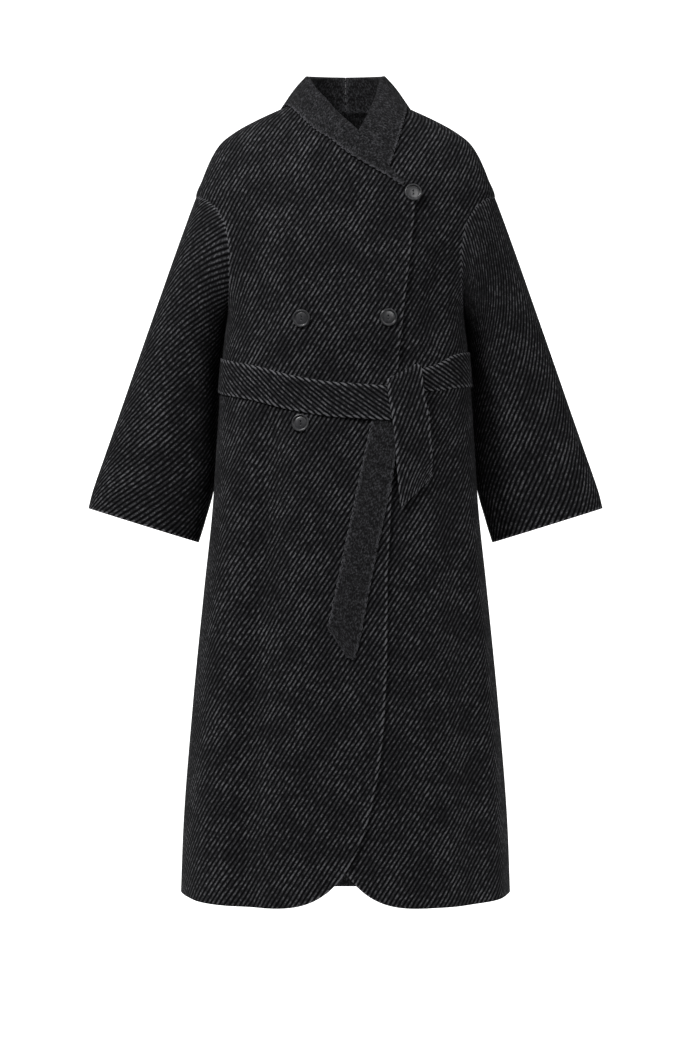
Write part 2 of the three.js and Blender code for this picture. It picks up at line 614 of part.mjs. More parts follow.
// The belt round the waist, from one side of the knot round the back to the other. Its rows stand over
// the columns of the panels under it, so that it lies on them evenly.
function beltBand() {
  const rows = [];
  const toDegrees = THREE.MathUtils.radToDeg;
  const atKnot = (x, z) => rightFrontLift(x, z) + BELT.knotLift * ease(-15, 25, x);
  for (const share of [0.975, ...COLUMN_SHARES.slice(0, -1).reverse()]) {
    const turn = toDegrees(columnAngle(-1, share, level(-430)));
    const z = curveThrough(BELT_RIGHT, "turn", "z")(turn);
    rows.push(beltRow((h) => columnAngle(-1, share, level(h)), z, curveThrough(BELT_RIGHT, "turn", "half")(turn), atKnot));
  }
  for (let c = 1; c < 2 * HALF_BACK; c++) {
    const z = lerp(-402, -394, ease(0, HALF_BACK, c));
    const columnAt = (h) => {
      const end = Math.PI - sideAngle(h, true, SEAM);
      return lerp(-end, end - 2 * Math.PI, c / (2 * HALF_BACK));
    };
    rows.push(beltRow(columnAt, z, BELT.width / 2, () => 0));
  }
  for (const share of COLUMN_SHARES.slice(0, 10)) {
    const turn = toDegrees(columnAngle(1, share, level(-405)));
    if (turn < 30) break;
    const z = curveThrough(BELT_LEFT, "turn", "z")(turn);
    rows.push(beltRow((h) => columnAngle(1, share, level(h)), z, curveThrough(BELT_LEFT, "turn", "half")(turn), leftFrontLift));
  }
  return between(rows.map((r) => r.outer), rows.map((r) => r.inner));
}

// A strip of cloth from a grid of middle points, with its walls set off along the grid's own normals
function strip(middle) {
  const rows = middle.length;
  const columns = middle[0].length;
  const off = (distance) =>
    middle.map((row, r) =>
      row.map((p, c) => {
        const down = middle[Math.min(r + 1, rows - 1)][c].clone().sub(middle[Math.max(r - 1, 0)][c]);
        const across = row[Math.min(c + 1, columns - 1)].clone().sub(row[Math.max(c - 1, 0)]);
        return p.clone().addScaledVector(across.cross(down).normalize(), distance);
      }),
    );
  return between(off(-CLOTH / 2), off(CLOTH / 2));
}

// The hanging ends of the belt: each row's left and right corner, and how far its middle stands off the coat
const UPPER_TAIL = [
  { leftX: 64, leftZ: -438, rightX: 88, rightZ: -432, off: 4.2 },
  { leftX: 62, leftZ: -424, rightX: 90, rightZ: -408, off: 4.2 },
  { leftX: 60.5, leftZ: -417.5, rightX: 96, rightZ: -396.5, off: 5.4 },
  { leftX: 60, leftZ: -415.5, rightX: 101, rightZ: -393.5, off: 8 },
  { leftX: 60, leftZ: -417.5, rightX: 106, rightZ: -395.5, off: 11.2 },
  { leftX: 60.5, leftZ: -426, rightX: 107.5, rightZ: -408, off: 12.4 },
  { leftX: 63, leftZ: -450, rightX: 111, rightZ: -440, off: 12.6 },
  { leftX: 68, leftZ: -480, rightX: 117.5, rightZ: -470, off: 12 },
  { leftX: 72, leftZ: -512, rightX: 121, rightZ: -500, off: 8.4 },
  { leftX: 75, leftZ: -548, rightX: 124.5, rightZ: -532, off: 5.2 },
  { leftX: 80, leftZ: -602, rightX: 123.5, rightZ: -558, off: 4.4 },
];
const UNDER_TAIL = [
  { leftX: 40, leftZ: -462, rightX: 72, rightZ: -462, off: 4.1 },
  { leftX: 38.5, leftZ: -474, rightX: 71, rightZ: -474, off: 4.1 },
  { leftX: 32, leftZ: -504, rightX: 73, rightZ: -510, off: 4.1 },
  { leftX: 22, leftZ: -550, rightX: 68, rightZ: -556, off: 4.1 },
  { leftX: 11, leftZ: -604, rightX: 56.5, rightZ: -612, off: 4.1 },
  { leftX: -1, leftZ: -660, rightX: 45, rightZ: -668, off: 4.1 },
  { leftX: -13, leftZ: -718, rightX: 33.5, rightZ: -726, off: 4.1 },
  { leftX: -22.5, leftZ: -764, rightX: 24.5, rightZ: -776, off: 4.1 },
  { leftX: -25.5, leftZ: -777, rightX: 21, rightZ: -794, off: 4.1 },
  { leftX: -12, leftZ: -797, rightX: 16, rightZ: -812, off: 4.1 },
  { leftX: 2, leftZ: -819, rightX: 11.5, rightZ: -823, off: 4.1 },
];
function tail(table) {
  return strip(
    table.map((row) =>
      [0, 0.25, 0.5, 0.75, 1].map((t) => {
        const x = lerp(row.leftX, row.rightX, t);
        const z = lerp(row.leftZ, row.rightZ, t);
        const angle = angleAtX(x, z);
        return bareSurface(angle, z).addScaledVector(outward(angle, z), row.off);
      }),
    ),
  );
}

// The buttons: a dished disc with a round rim, by the cloth that each lies on
const BUTTONS = [
  { name: "button_top", x: 97.8, z: -141 },
  { name: "button_middle_left", x: 62, z: -323.5 },
  { name: "button_middle_right", x: -63.5, z: -325 },
  { name: "button_lower_right", x: -65, z: -478 },
];
function buttonShape() {
  const { radius, rimWidth, thick, dish } = BUTTON;
  const profile = [
    [0, 0],
    [radius - 2.2, 0],
    [radius - 0.3, 1.5],
    [radius, 2.4],
    [radius - 0.5, thick - 0.6],
    [radius - rimWidth / 2, thick],
    [radius - rimWidth + 0.3, thick - 0.5],
    [radius - rimWidth - 0.7, thick - dish],
    [0, thick - dish - 0.5],
  ].map(([r, h]) => new THREE.Vector2(r, h));
  return new THREE.LatheGeometry(profile, 20);
}

const group = new THREE.Group();
const add = (name, geometry, colour, roughness) => {
  const mesh = new THREE.Mesh(geometry, new THREE.MeshStandardMaterial({ color: colour, roughness, metalness: 0 }));
  mesh.name = name;
  group.add(mesh);
  return mesh;
};
const TWILL = 0x1f1f21;
const REVERSE = 0x2c2c2e;
const HORN = 0x3a3a3c;
const rightFront = add("front_right", frontPanel(-1, rightFrontLift, rightCollar), TWILL, 0.95);
add("front_left", frontPanel(1, leftFrontLift, leftCollar), TWILL, 0.95);
add("back", backPanel(), TWILL, 0.95);
add("sleeve_right", sleeve(-1), TWILL, 0.95);
add("sleeve_left", sleeve(1), TWILL, 0.95);
add("collar_right", collarHalf(rightCollar, -1), REVERSE, 0.95);
add("collar_left", collarHalf(leftCollar, 1), REVERSE, 0.95);
add("belt_waist", beltBand(), TWILL, 0.95);
add("belt_upper_tail", tail(UPPER_TAIL), TWILL, 0.95);
add("belt_under_tail", tail(UNDER_TAIL), REVERSE, 0.95);

// Each button is set down until its back is one gap off the cloth under it
const BUTTON_GAP = 0.3;
rightFront.updateMatrixWorld(true);
for (const { name, x, z } of BUTTONS) {
  const angle = angleAtX(x, z);
  const out = outward(angle, z);
  const centre = skin(angle, z, rightFrontLift(x, z));
  const turned = new THREE.Quaternion().setFromUnitVectors(new THREE.Vector3(0, 1, 0), out);
  let high = -Infinity;
  for (const share of [0, 0.45, 0.75, 1])
    for (let k = 0; k < 20; k++) {
      const spot = new THREE.Vector3(Math.cos((k * Math.PI) / 10), 0, Math.sin((k * Math.PI) / 10));
      spot.multiplyScalar(share * BUTTON.radius).applyQuaternion(turned).add(centre);
      const ray = new THREE.Raycaster(spot.clone().addScaledVector(out, 30), out.clone().negate(), 0, 45);
      const hit = ray.intersectObject(rightFront)[0];
      if (hit) high = Math.max(high, 30 - hit.distance);
    }
  const geometry = buttonShape();
  geometry.applyQuaternion(turned);
  const at = centre.clone().addScaledVector(out, high + BUTTON_GAP);
  geometry.translate(at.x, at.y, at.z);
  add(name, geometry, HORN, 0.3);
}
export default group;
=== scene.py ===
"""A long double-breasted coat in double-faced wool, dressed over its CAD frame.

The outer face is a black and grey diagonal twill, the inner face a smooth felted melange. Each
sewn piece is a thin closed shell worked out with numpy on the same form as its solid. Lengths in
the code are millimetres of the real coat and become metres when a mesh is made. "Right" and
"left" are the wearer's: the right front is at -X and lies on top.
"""

import logging
from dataclasses import dataclass, field
from enum import Enum

import bpy
import numpy as np
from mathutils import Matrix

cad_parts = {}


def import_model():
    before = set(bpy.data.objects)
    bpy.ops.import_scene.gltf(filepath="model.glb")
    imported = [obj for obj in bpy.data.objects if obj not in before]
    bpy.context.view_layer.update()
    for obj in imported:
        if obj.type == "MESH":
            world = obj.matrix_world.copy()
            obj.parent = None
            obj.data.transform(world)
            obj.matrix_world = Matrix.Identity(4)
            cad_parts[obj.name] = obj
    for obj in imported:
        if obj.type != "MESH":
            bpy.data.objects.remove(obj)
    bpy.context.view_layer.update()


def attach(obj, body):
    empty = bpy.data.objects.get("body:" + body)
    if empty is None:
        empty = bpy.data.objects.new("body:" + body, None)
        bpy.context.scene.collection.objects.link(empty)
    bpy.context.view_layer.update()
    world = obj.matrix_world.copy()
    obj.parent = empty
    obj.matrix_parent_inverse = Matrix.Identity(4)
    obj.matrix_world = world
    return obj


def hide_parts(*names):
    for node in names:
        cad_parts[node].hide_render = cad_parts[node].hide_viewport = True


LOG = logging.getLogger("coat")
MM = 0.001
CLOTH = 3.0  # one layer of the double-faced wool
SEAM = 0.03  # a piece stops this far short of a shared seam line
EDGE = 0.7  # how far a cloth edge bulges past its last grid line
HEM_Z = -1186.0
HEM_SIDE_RISE = 12.0
HEM_START = -1000.0  # below this the hem is shaped
Array = np.ndarray
Table = tuple[tuple[float, ...], ...]
Tree, Socket = bpy.types.NodeTree, bpy.types.NodeSocket


class Side(Enum):
    """The wearer's sides, as the sign of X."""

    RIGHT = -1
    LEFT = 1


# ---- Numbers on curves and grids


def ease(start: float, end: float, value: Array | float) -> Array:
    """0 at start and 1 at end with level ends: 3t^2 - 2t^3.

    Args:
        start: where the result is 0.
        end: where the result is 1.
        value: the places asked for.

    Returns:
        The eased share at each place.
    """
    t = np.clip((np.asarray(value, float) - start) / (end - start), 0, 1)
    return t * t * (3 - 2 * t)


def lerp(a: Array | float, b: Array | float, t: Array | float) -> Array:
    """A straight mix: a at t = 0, b at t = 1."""
    return a + (b - a) * t


def signed_power(value: Array, power: Array | float) -> Array:
    """The sign of the value times its size raised to the power."""
    return np.sign(value) * np.abs(value) ** power


def unit(vectors: Array) -> Array:
    """Each vector divided by its length."""
    return vectors / np.maximum(np.linalg.norm(vectors, axis=-1, keepdims=True), 1e-12)


@dataclass(frozen=True)
class Track:
    """A smooth curve through (place, value) pairs that never overshoots between them."""

    pairs: tuple[tuple[float, float], ...]

    def __call__(self, where: Array | float) -> Array:
        """The curve's value, by Hermite pieces whose slopes are weighted harmonic means.

        Args:
            where: the places asked for; past either end the end value holds.

        Returns:
            The values there.
        """
        x, y = np.array(sorted(self.pairs), float).T
        step = np.diff(x)
        slope = np.diff(y) / step
        ahead, behind = 2 * step[1:] + step[:-1], step[1:] + 2 * step[:-1]
        rising = slope[:-1] * slope[1:] > 0
        first, second = np.where(rising, slope[:-1], 1), np.where(rising, slope[1:], 1)
        mean = (ahead + behind) / (ahead / first + behind / second)
        tangent = np.concatenate([slope[:1], np.where(rising, mean, 0), slope[-1:]])
        v = np.clip(where, x[0], x[-1])
        i = np.clip(np.searchsorted(x, v, side="right") - 1, 0, len(x) - 2)
        t = (v - x[i]) / step[i]
        t2, t3 = t * t, t * t * t
        return (
            (2 * t3 - 3 * t2 + 1) * y[i]
            + (t3 - 2 * t2 + t) * step[i] * tangent[i]
            + (3 * t2 - 2 * t3) * y[i + 1]
            + (t3 - t2) * step[i] * tangent[i + 1]
        )


def column_track(rows: Table, which: int) -> Track:
    """The curve of one column of a table by the table's first column."""
    return Track(tuple((row[0], row[which]) for row in rows))


def refine(rows: Array, times: int) -> Array:
    """More rows on the smooth curve through the given ones (Catmull-Rom cubics along axis 0).

    Args:
        rows: values at evenly counted rows.
        times: spans that each span is divided into.

    Returns:
        The values at (len(rows) - 1) * times + 1 rows.
    """
    padded = np.concatenate([2 * rows[:1] - rows[1:2], rows, 2 * rows[-1:] - rows[-2:-1]])
    place = np.linspace(0, len(rows) - 1, (len(rows) - 1) * times + 1)
    i = np.minimum(place.astype(int), len(rows) - 2)
    t = (place - i).reshape(-1, *[1] * (rows.ndim - 1))
    a, b, c, d = (padded[i + k] for k in range(4))
    return 0.5 * (2 * b + (c - a) * t + (2 * a - 5 * b + 4 * c - d) * t**2 + (3 * b - a - 3 * c + d) * t**3)


def refine_grid(grid: Array, down: int, across: int) -> Array:
    """A grid of points made finer along both of its ways."""
    return np.swapaxes(refine(np.swapaxes(refine(grid, down), 0, 1), across), 0, 1)


def grid_normals(grid: Array, wraps: bool = False) -> Array:
    """The cross product of a grid's two directions at each point, with length 1.

    Args:
        grid: points in rows and columns.
        wraps: True if the last column joins the first.

    Returns:
        One unit vector for each point.
    """
    down = np.gradient(grid, axis=0)
    if wraps:
        across = np.roll(grid, -1, axis=1) - np.roll(grid, 1, axis=1)
    else:
        across = np.gradient(grid, axis=1)
    return unit(np.cross(across, down))


def run_length(grid: Array, axis: int) -> Array:
    """The distance travelled along one way of a grid, from its first row or column."""
    steps = np.linalg.norm(np.diff(grid, axis=axis), axis=-1)
    pad = [(0, 0), (0, 0)]
    pad[axis] = (1, 0)
    return np.cumsum(np.pad(steps, pad), axis=axis)


def to_side(side: Side, *grids: Array) -> tuple[Array, ...]:
    """Points made for the right side, mirrored if the side is the left one."""
    return tuple(grid * (-side.value, 1, 1) for grid in grids)


# ---- The coat's form


@dataclass(frozen=True)
class Fold:
    """A soft fold that runs down the cloth; a minus depth stands out."""

    angle: float  # round the body from the front, plus is the wearer's left, in degrees
    top: float
    bottom: float
    depth: float
    half: float  # half width in degrees


@dataclass(frozen=True)
class BodyForm:
    """The outer surface of the coat: a rounded section at every height, with soft folds."""

    # height, half width, depth in front, depth behind, squareness
    sections: Table = (
        (4, 77, 57, 72, 2.0), (0, 87, 62, 76, 2.0), (-8, 105, 67, 81, 2.0), (-20, 131, 74, 89, 2.05),
        (-38, 164, 83, 98, 2.1), (-56, 187, 91, 106, 2.15), (-74, 199, 98, 112, 2.2),
        (-92, 207.5, 103, 116, 2.25), (-110, 214.5, 107, 119, 2.3), (-136, 223.5, 113, 123, 2.3),
        (-162, 221, 118, 126, 2.3), (-190, 212.5, 123, 129, 2.3), (-250, 193, 130, 131, 2.3),
        (-312, 177, 132, 129, 2.35), (-336, 179.6, 130.7, 125.8, 2.37), (-360, 182.6, 129, 122, 2.4),
        (-384, 184.2, 125.5, 118, 2.4), (-425, 187.6, 125.5, 118, 2.4), (-465, 190.3, 129, 121.5, 2.4),
        (-515, 193.6, 132, 127, 2.4), (-595, 198.6, 135, 133, 2.4), (-725, 212, 140, 140, 2.4),
        (-905, 229.6, 145, 147, 2.4), (-1085, 243.2, 149, 153, 2.4), (-1190, 247, 150, 155, 2.4),
    )
    folds: tuple[Fold, ...] = (
        Fold(-32, -440, -1300, 11, 7.5), Fold(-55, -520, -1300, -5, 10), Fold(47, -470, -1300, 5, 8),
        Fold(62, -600, -1300, -4, 9), Fold(44, -185, -385, 8, 7.5), Fold(-38, -215, -385, 4, 8),
        Fold(152, -430, -1300, 8, 9), Fold(-150, -450, -1300, 7, 9), Fold(180, -560, -1300, -5, 12),
        Fold(146, -200, -390, 6, 10), Fold(-143, -190, -390, 6, 10),
    )

    def column(self, which: int) -> Track:
        """The curve of one of the section table's columns by height."""
        return column_track(self.sections, which)

    def bare(self, angle: Array, z: Array) -> Array:
        """The surface without folds: x = w|sin a|^e, y = -d|cos a|^e, signed, with e = 2 / squareness."""
        angle, z = np.broadcast_arrays(np.asarray(angle, float), np.asarray(z, float))
        e = 2 / self.column(4)(z)
        c = np.cos(angle)
        depth = np.where(c > 0, self.column(2)(z), self.column(3)(z))
        x = self.column(1)(z) * signed_power(np.sin(angle), e)
        return np.stack([x, -depth * signed_power(c, e), z], -1)

    def outward(self, angle: Array, z: Array) -> Array:
        """The outward direction, from short steps round and up the bare surface."""
        around = self.bare(angle + 0.02, z) - self.bare(angle - 0.02, z)
        up = self.bare(angle, np.minimum(z + 1.5, 4)) - self.bare(angle, z - 1.5)
        return unit(np.cross(around, up))

    def fold_depth(self, angle: Array, z: Array) -> Array:
        """How far the folds push the surface in: a bell across each fold, eased at its ends."""
        degrees = np.degrees(angle)
        depth = np.zeros(np.broadcast(angle, z).shape)
        for f in self.folds:
            away = ((degrees - f.angle + 540) % 360 - 180) / f.half
            along = ease(f.bottom - 1, f.bottom + 60, z) * (1 - ease(f.top - 70, f.top, z))
            depth = depth + f.depth * np.exp(-away * away) * along
        return depth

    def skin(self, angle: Array, z: Array, out: Array | float) -> Array:
        """The folded surface moved outwards by some distance."""
        away = (out - self.fold_depth(angle, z))[..., None]
        return self.bare(angle, z) + self.outward(angle, z) * away

    def angle_at(self, x: Array, z: Array) -> Array:
        """The angle of a point on the front half that lies x beside the middle."""
        share = np.minimum(np.abs(x) / self.column(1)(z), 1)
        return np.sign(x) * np.arcsin(share ** (self.column(4)(z) / 2))

    def grain(self, angle: Array, z: Array, start: float) -> Array:
        """The place on the flat cloth: distance round from an upright line, and height along the middle.

        Args:
            angle: angles of the points.
            z: heights of the points.
            start: the angle of the upright line, 0 in front or pi behind.

        Returns:
            Pairs of lengths in millimetres.
        """
        angle, z = np.broadcast_arrays(angle, z)
        steps = lerp(start, angle[..., None], np.linspace(0, 1, 40))
        chords = np.linalg.norm(np.diff(self.bare(steps, z[..., None]), axis=-2), axis=-1).sum(-1)
        heights = np.linspace(-1300, 4, 800)
        middle = self.bare(np.full(800, start), heights)
        climb = np.concatenate([[0], np.cumsum(np.linalg.norm(np.diff(middle, axis=0), axis=-1))])
        across = np.sign(angle - start) * chords * (1 if start == 0 else -1)
        return np.stack([across, np.interp(z, heights, climb)], -1)


FORM = BodyForm()


@dataclass(frozen=True)
class FrontLines:
    """The edges of both fronts: neck seams, the buttoned edge and the rounded corner at the hem."""

    # all three: height, distance from the middle
    edge: Track = Track((
        (-136, 98.5), (-160, 101), (-228, 94.7), (-325, 83.6), (-384, 78), (-520, 70), (-610, 66), (-700, 61.5),
    ))
    right_neck: Track = Track((
        (4, -77), (1, -76), (-5, -68), (-14, -56), (-27, -42), (-42, -26), (-58, -8), (-74, 11), (-90, 31),
        (-106, 51), (-120, 68.5), (-130, 81.5), (-136, 96),
    ))
    left_neck: Track = Track((
        (4, -77), (1, -74), (-5, -63), (-14, -55), (-27, -48), (-42, -40), (-58, -31.5), (-74, -23), (-90, -14),
        (-106, -3), (-120, 9), (-136, 26), (-160, 60), (-190, 96),
    ))
    right_neck_end: float = -136  # the height where a neck seam meets the front edge
    left_neck_end: float = -190
    corner_start: float = -700
    corner_x: float = -115
    drop: float = 3.1
    sweep: float = 2.8
    overlap: float = 2.1  # each front's share of the room where they lie on each other
    collar_room: float = 6  # extra room over the left collar half
    room_start: tuple[float, float] = (5, -66)  # x and z where the line through that room starts
    room_run: tuple[float, float] = (55, -42)  # from there to the line's end

    def front_edge(self, z: Array) -> Array:
        """The edge's distance from the middle; below the start it swings in as (1 - t^drop)^(1/sweep)."""
        down = np.clip((self.corner_start - z) / (self.corner_start - HEM_Z), 0, 1)
        share = (1 - down**self.drop) ** (1 / self.sweep)
        rounded = lerp(self.corner_x, self.edge(self.corner_start), share)
        return np.where(z > self.corner_start, self.edge(z), rounded)

    def inner_end(self, side: Side, z: Array) -> Array:
        """Where a front ends at a height: its neck seam above, its front edge below. The left is mirrored."""
        z = np.asarray(z, float)
        if side is Side.RIGHT:
            return np.where(z > self.right_neck_end, self.right_neck(z), self.front_edge(z))
        return np.where(z > self.left_neck_end, self.left_neck(z), self.front_edge(z))

    def lift(self, side: Side, x: Array, z: Array) -> Array:
        """How far a front stands off the shared surface where the fronts lie on each other.

        Args:
            side: which front.
            x: place across, plus is the wearer's left.
            z: height.

        Returns:
            The right front's room outwards, or the left front's inwards as a minus.
        """
        if side is Side.LEFT:
            return -self.overlap * (1 - ease(5, 60, x - self.inner_end(Side.RIGHT, z)))
        # the room over the collar half fades with the distance from a line
        (x0, z0), (dx, dz) = self.room_start, self.room_run
        t = np.clip(((x - x0) * dx + (z - z0) * dz) / (dx**2 + dz**2), 0, 1)
        away = np.hypot(x - x0 - dx * t, z - z0 - dz * t)
        # the right front climbs just before it reaches the left one's hidden end
        under = -np.maximum(self.inner_end(Side.LEFT, z), 45)
        return self.overlap * ease(under - 45, under - 5, x) + self.collar_room * (1 - ease(22, 80, away))


LINES = FrontLines()


@dataclass(frozen=True)
class Armhole:
    """The opening for the sleeve in each side of the body."""

    top: float = -136
    middle: float = -200
    bottom: float = -312
    half_depth: float = 78
    top_power: float = 2.6
    bottom_power: float = 2.0

    def depth(self, z: Array, grow: float) -> Array:
        """How far the opening reaches to the front and back at a height: a superellipse."""
        above = z > self.middle
        reach = np.where(above, self.top - self.middle, self.middle - self.bottom)
        power = np.where(above, self.top_power, self.bottom_power)
        share = np.minimum(np.abs(z - self.middle) / (reach + grow), 1)
        return (self.half_depth + grow) * (1 - share**power) ** (1 / power)

    def rim(self, turn: Array, grow: float) -> tuple[Array, Array]:
        """The height and depth of the rim by its turn from the shoulder."""
        above = np.cos(turn) > 0
        reach = np.where(above, self.top - self.middle, self.middle - self.bottom)
        e = 2 / np.where(above, self.top_power, self.bottom_power)
        z = self.middle + (reach + grow) * signed_power(np.cos(turn), e)
        return z, (self.half_depth + grow) * signed_power(np.sin(turn), e)

    def point(self, turn: Array, grow: float) -> Array:
        """A point of the seam on the right side of the body."""
        z, depth = self.rim(turn, grow)
        wall = np.where(depth >= 0, FORM.column(2)(z), FORM.column(3)(z))
        power = FORM.column(4)(z)
        share = np.minimum(np.abs(depth) / wall, 1)
        return np.stack([-FORM.column(1)(z) * (1 - share**power) ** (1 / power), -depth, z], -1)

    def panel_end(self, z: Array, behind: bool, grow: float) -> Array:
        """The angle from the middle at which a body panel ends, at the rim or at the side seam."""
        wall = FORM.column(3)(z) if behind else FORM.column(2)(z)
        depth = np.maximum(self.depth(z, grow), grow)
        return np.arccos(np.clip(depth / wall, 0, 1) ** (FORM.column(4)(z) / 2))


ARMHOLE = Armhole()


# ---- Meshes


def grid_quads(rows: int, cols: int, wraps: bool = False) -> Array:
    """Four point numbers for each cell of a grid of points.

    Args:
        rows: how many rows of points there are.
        cols: how many columns.
        wraps: True if the last column joins the first.

    Returns:
        The cells, row by row.
    """
    span = np.arange(cols if wraps else cols - 1)
    top = np.arange(rows - 1)[:, None] * cols
    near, far = top + span, top + (span + 1) % cols
    return np.stack([near, near + cols, far + cols, far], -1).reshape(-1, 4)


@dataclass
class Shell:
    """A closed piece of cloth between the grid of its face and the grid of its back."""

    name: str
    face: Array
    back: Array
    grain: Array  # the place of each grid point on the flat cloth
    wraps: bool = False
    edge: float = EDGE
    wrap_grain: float = 0.0  # the flat cloth's width, where a tube's last column joins its first

    def loops(self) -> list[Array]:
        """The grid points along each open edge, in order."""
        rows, cols = self.face.shape[:2]
        index = np.arange(rows * cols).reshape(rows, cols)
        if self.wraps:
            return [index[0], index[-1][::-1]]
        return [np.concatenate([index[0, :-1], index[:-1, -1], index[-1, :0:-1], index[:0:-1, 0]])]

    def outwards(self, values: Array) -> Array:
        """The direction off the grid at every point near its edge, from its last two rows or columns."""
        away = np.zeros_like(values)
        away[0] += unit(values[0] - values[1])
        away[-1] += unit(values[-1] - values[-2])
        if not self.wraps:
            away[:, 0] += unit(values[:, 0] - values[:, 1])
            away[:, -1] += unit(values[:, -1] - values[:, -2])
        return unit(away)

    def from_edge(self) -> Array:
        """The distance of each grid point from the nearest open edge."""
        near = []
        for axis in (0,) if self.wraps else (0, 1):
            run = run_length(self.face, axis)
            near.append(np.minimum(run, run.max(axis, keepdims=True) - run))
        return np.minimum.reduce(near)

    def build(self, faces: list[bpy.types.Material]) -> bpy.types.Object:
        """Makes the object: face, back, and a rounded edge of half circles between them.

        Args:
            faces: the materials of the face, the edge and the back.

        Returns:
            The new object, with UV maps in metres: its place on the flat cloth, and how far an edge is, which
                places the painted edge highlight.
        """
        rows, cols = self.face.shape[:2]
        points = [self.face.reshape(-1, 3), self.back.reshape(-1, 3)]
        grain = [self.grain.reshape(-1, 2)] * 2
        near_edge = [self.from_edge().ravel()] * 2
        half = rows * cols
        quad = grid_quads(rows, cols, self.wraps)
        quads, kinds = [quad, quad[:, ::-1] + half], [0, 2]
        away, flat_away = self.outwards(self.face).reshape(-1, 3), self.outwards(self.grain).reshape(-1, 2)
        count = 2 * half
        for loop in self.loops():
            a, b = points[0][loop], points[1][loop]
            rings = [loop]
            for k in range(1, 5):
                turn = np.pi * k / 5
                points.append((a + b) / 2 + (a - b) / 2 * np.cos(turn) + away[loop] * self.edge * np.sin(turn))
                grain.append(self.grain.reshape(-1, 2)[loop] + flat_away[loop] * CLOTH * k / 5)
                near_edge.append(np.zeros(len(loop)))
                rings.append(count + np.arange(len(loop)))
                count += len(loop)
            rings.append(loop + half)
            for first, second in zip(rings, rings[1:]):
                quads.append(np.stack([first, np.roll(first, -1), np.roll(second, -1), second], -1))
                kinds.append(1)
        polygons = np.concatenate(quads)
        slots = np.concatenate([np.full(len(q), k) for q, k in zip(quads, kinds)])
        place, flat = np.concatenate(points), np.concatenate(grain)[polygons]
        if self.wraps:
            step = flat - flat[:, :1]
            flat[..., 0] -= self.wrap_grain * np.round(step[..., 0] / self.wrap_grain)
        inset = np.repeat(np.concatenate(near_edge)[polygons][..., None], 2, -1)
        maps = {"cloth": flat * MM, "edge": inset * MM}
        return mesh_object(self.name, place, polygons, maps, slots, faces)


def mesh_object(
    name: str,
    place: Array,
    polygons: Array,
    maps: dict[str, Array],
    slots: Array | None,
    materials: list[bpy.types.Material],
) -> bpy.types.Object:
    """A new object from arrays, turned so that its faces point outwards.

    Args:
        name: the piece's name.
        place: points in millimetres.
        polygons: four point numbers for each face.
        maps: for each UV map's name, a pair in metres for each corner of each face.
        slots: the material number of each face, or None.
        materials: the materials in order.

    Returns:
        The object, linked into the scene.
    """
    corners = place[polygons] * MM
    volume = np.einsum("ij,ij->i", corners[:, 0], np.cross(corners[:, 1], corners[:, 2]))
    volume += np.einsum("ij,ij->i", corners[:, 0], np.cross(corners[:, 2], corners[:, 3]))
    if volume.sum() < 0:
        polygons = polygons[:, ::-1]
        maps = {key: pairs[:, ::-1] for key, pairs in maps.items()}
    mesh = bpy.data.meshes.new(name)
    mesh.vertices.add(len(place))
    mesh.vertices.foreach_set("co", (place * MM).astype(np.float32).ravel())
    mesh.loops.add(polygons.size)
    mesh.loops.foreach_set("vertex_index", polygons.astype(np.int32).ravel())
    mesh.polygons.add(len(polygons))
    mesh.polygons.foreach_set("loop_start", np.arange(0, polygons.size, 4, dtype=np.int32))
    mesh.polygons.foreach_set("use_smooth", np.ones(len(polygons), bool))
    mesh.update(calc_edges=True)
    for material in materials:
        mesh.materials.append(material)
    if slots is not None:
        mesh.polygons.foreach_set("material_index", slots.astype(np.int32))
    for key, pairs in maps.items():
        mesh.uv_layers.new(name=key).data.foreach_set("uv", pairs.astype(np.float32).ravel())
    mesh.validate()
    piece = bpy.data.objects.new(name, mesh)
    bpy.context.scene.collection.objects.link(piece)
    return piece


# ---- Finishes


def linear(hex_colour: str) -> tuple[float, float, float, float]:
    """An sRGB hex colour as linear light with full alpha."""
    parts = np.array([int(hex_colour[i : i + 2], 16) / 255 for i in (0, 2, 4)])
    light = np.where(parts <= 0.04045, parts / 12.92, ((parts + 0.055) / 1.055) ** 2.4)
    return (*light.tolist(), 1.0)


def add_node(tree: Tree, kind: str, settings: dict | None = None, **sockets: object) -> bpy.types.Node:
    """Adds a node, sets its properties, and sets or links its sockets.

    Args:
        tree: the node tree.
        kind: Blender's name of the node type.
        settings: properties of the node.
        sockets: a value or another node's output for each input, by its name with _ for a space, or i0, i1.

    Returns:
        The new node.
    """
    node = tree.nodes.new(kind)
    for key, value in (settings or {}).items():
        setattr(node, key, value)
    for key, value in sockets.items():
        numbered = key[0] == "i" and key[1:].isdigit()
        socket = node.inputs[int(key[1:]) if numbered else key.replace("_", " ")]
        if isinstance(value, Socket):
            tree.links.new(value, socket)
        else:
            socket.default_value = value
    return node


def maths(tree: Tree, operation: str, *terms: object, vectors: bool = False) -> Socket:
    """The result of one sum on values or, if vectors is True, on vectors."""
    kind = "ShaderNodeVectorMath" if vectors else "ShaderNodeMath"
    sockets = {f"i{n}": term for n, term in enumerate(terms)}
    return add_node(tree, kind, {"operation": operation}, **sockets).outputs[0]


def noise(tree: Tree, place: Socket, scale: float, detail: float, **sockets: float) -> Socket:
    """Grey noise from 0 to 1."""
    return add_node(tree, "ShaderNodeTexNoise", Vector=place, Scale=scale, Detail=detail, **sockets).outputs["Fac"]


def stretch(tree: Tree, value: Socket, low: float, high: float, least: float = 0.0, most: float = 1.0) -> Socket:
    """The value with its range from low to high laid over least to most, and clamped there."""
    limits = {"From_Min": low, "From_Max": high, "To_Min": least, "To_Max": most}
    return add_node(tree, "ShaderNodeMapRange", Value=value, **limits).outputs[0]


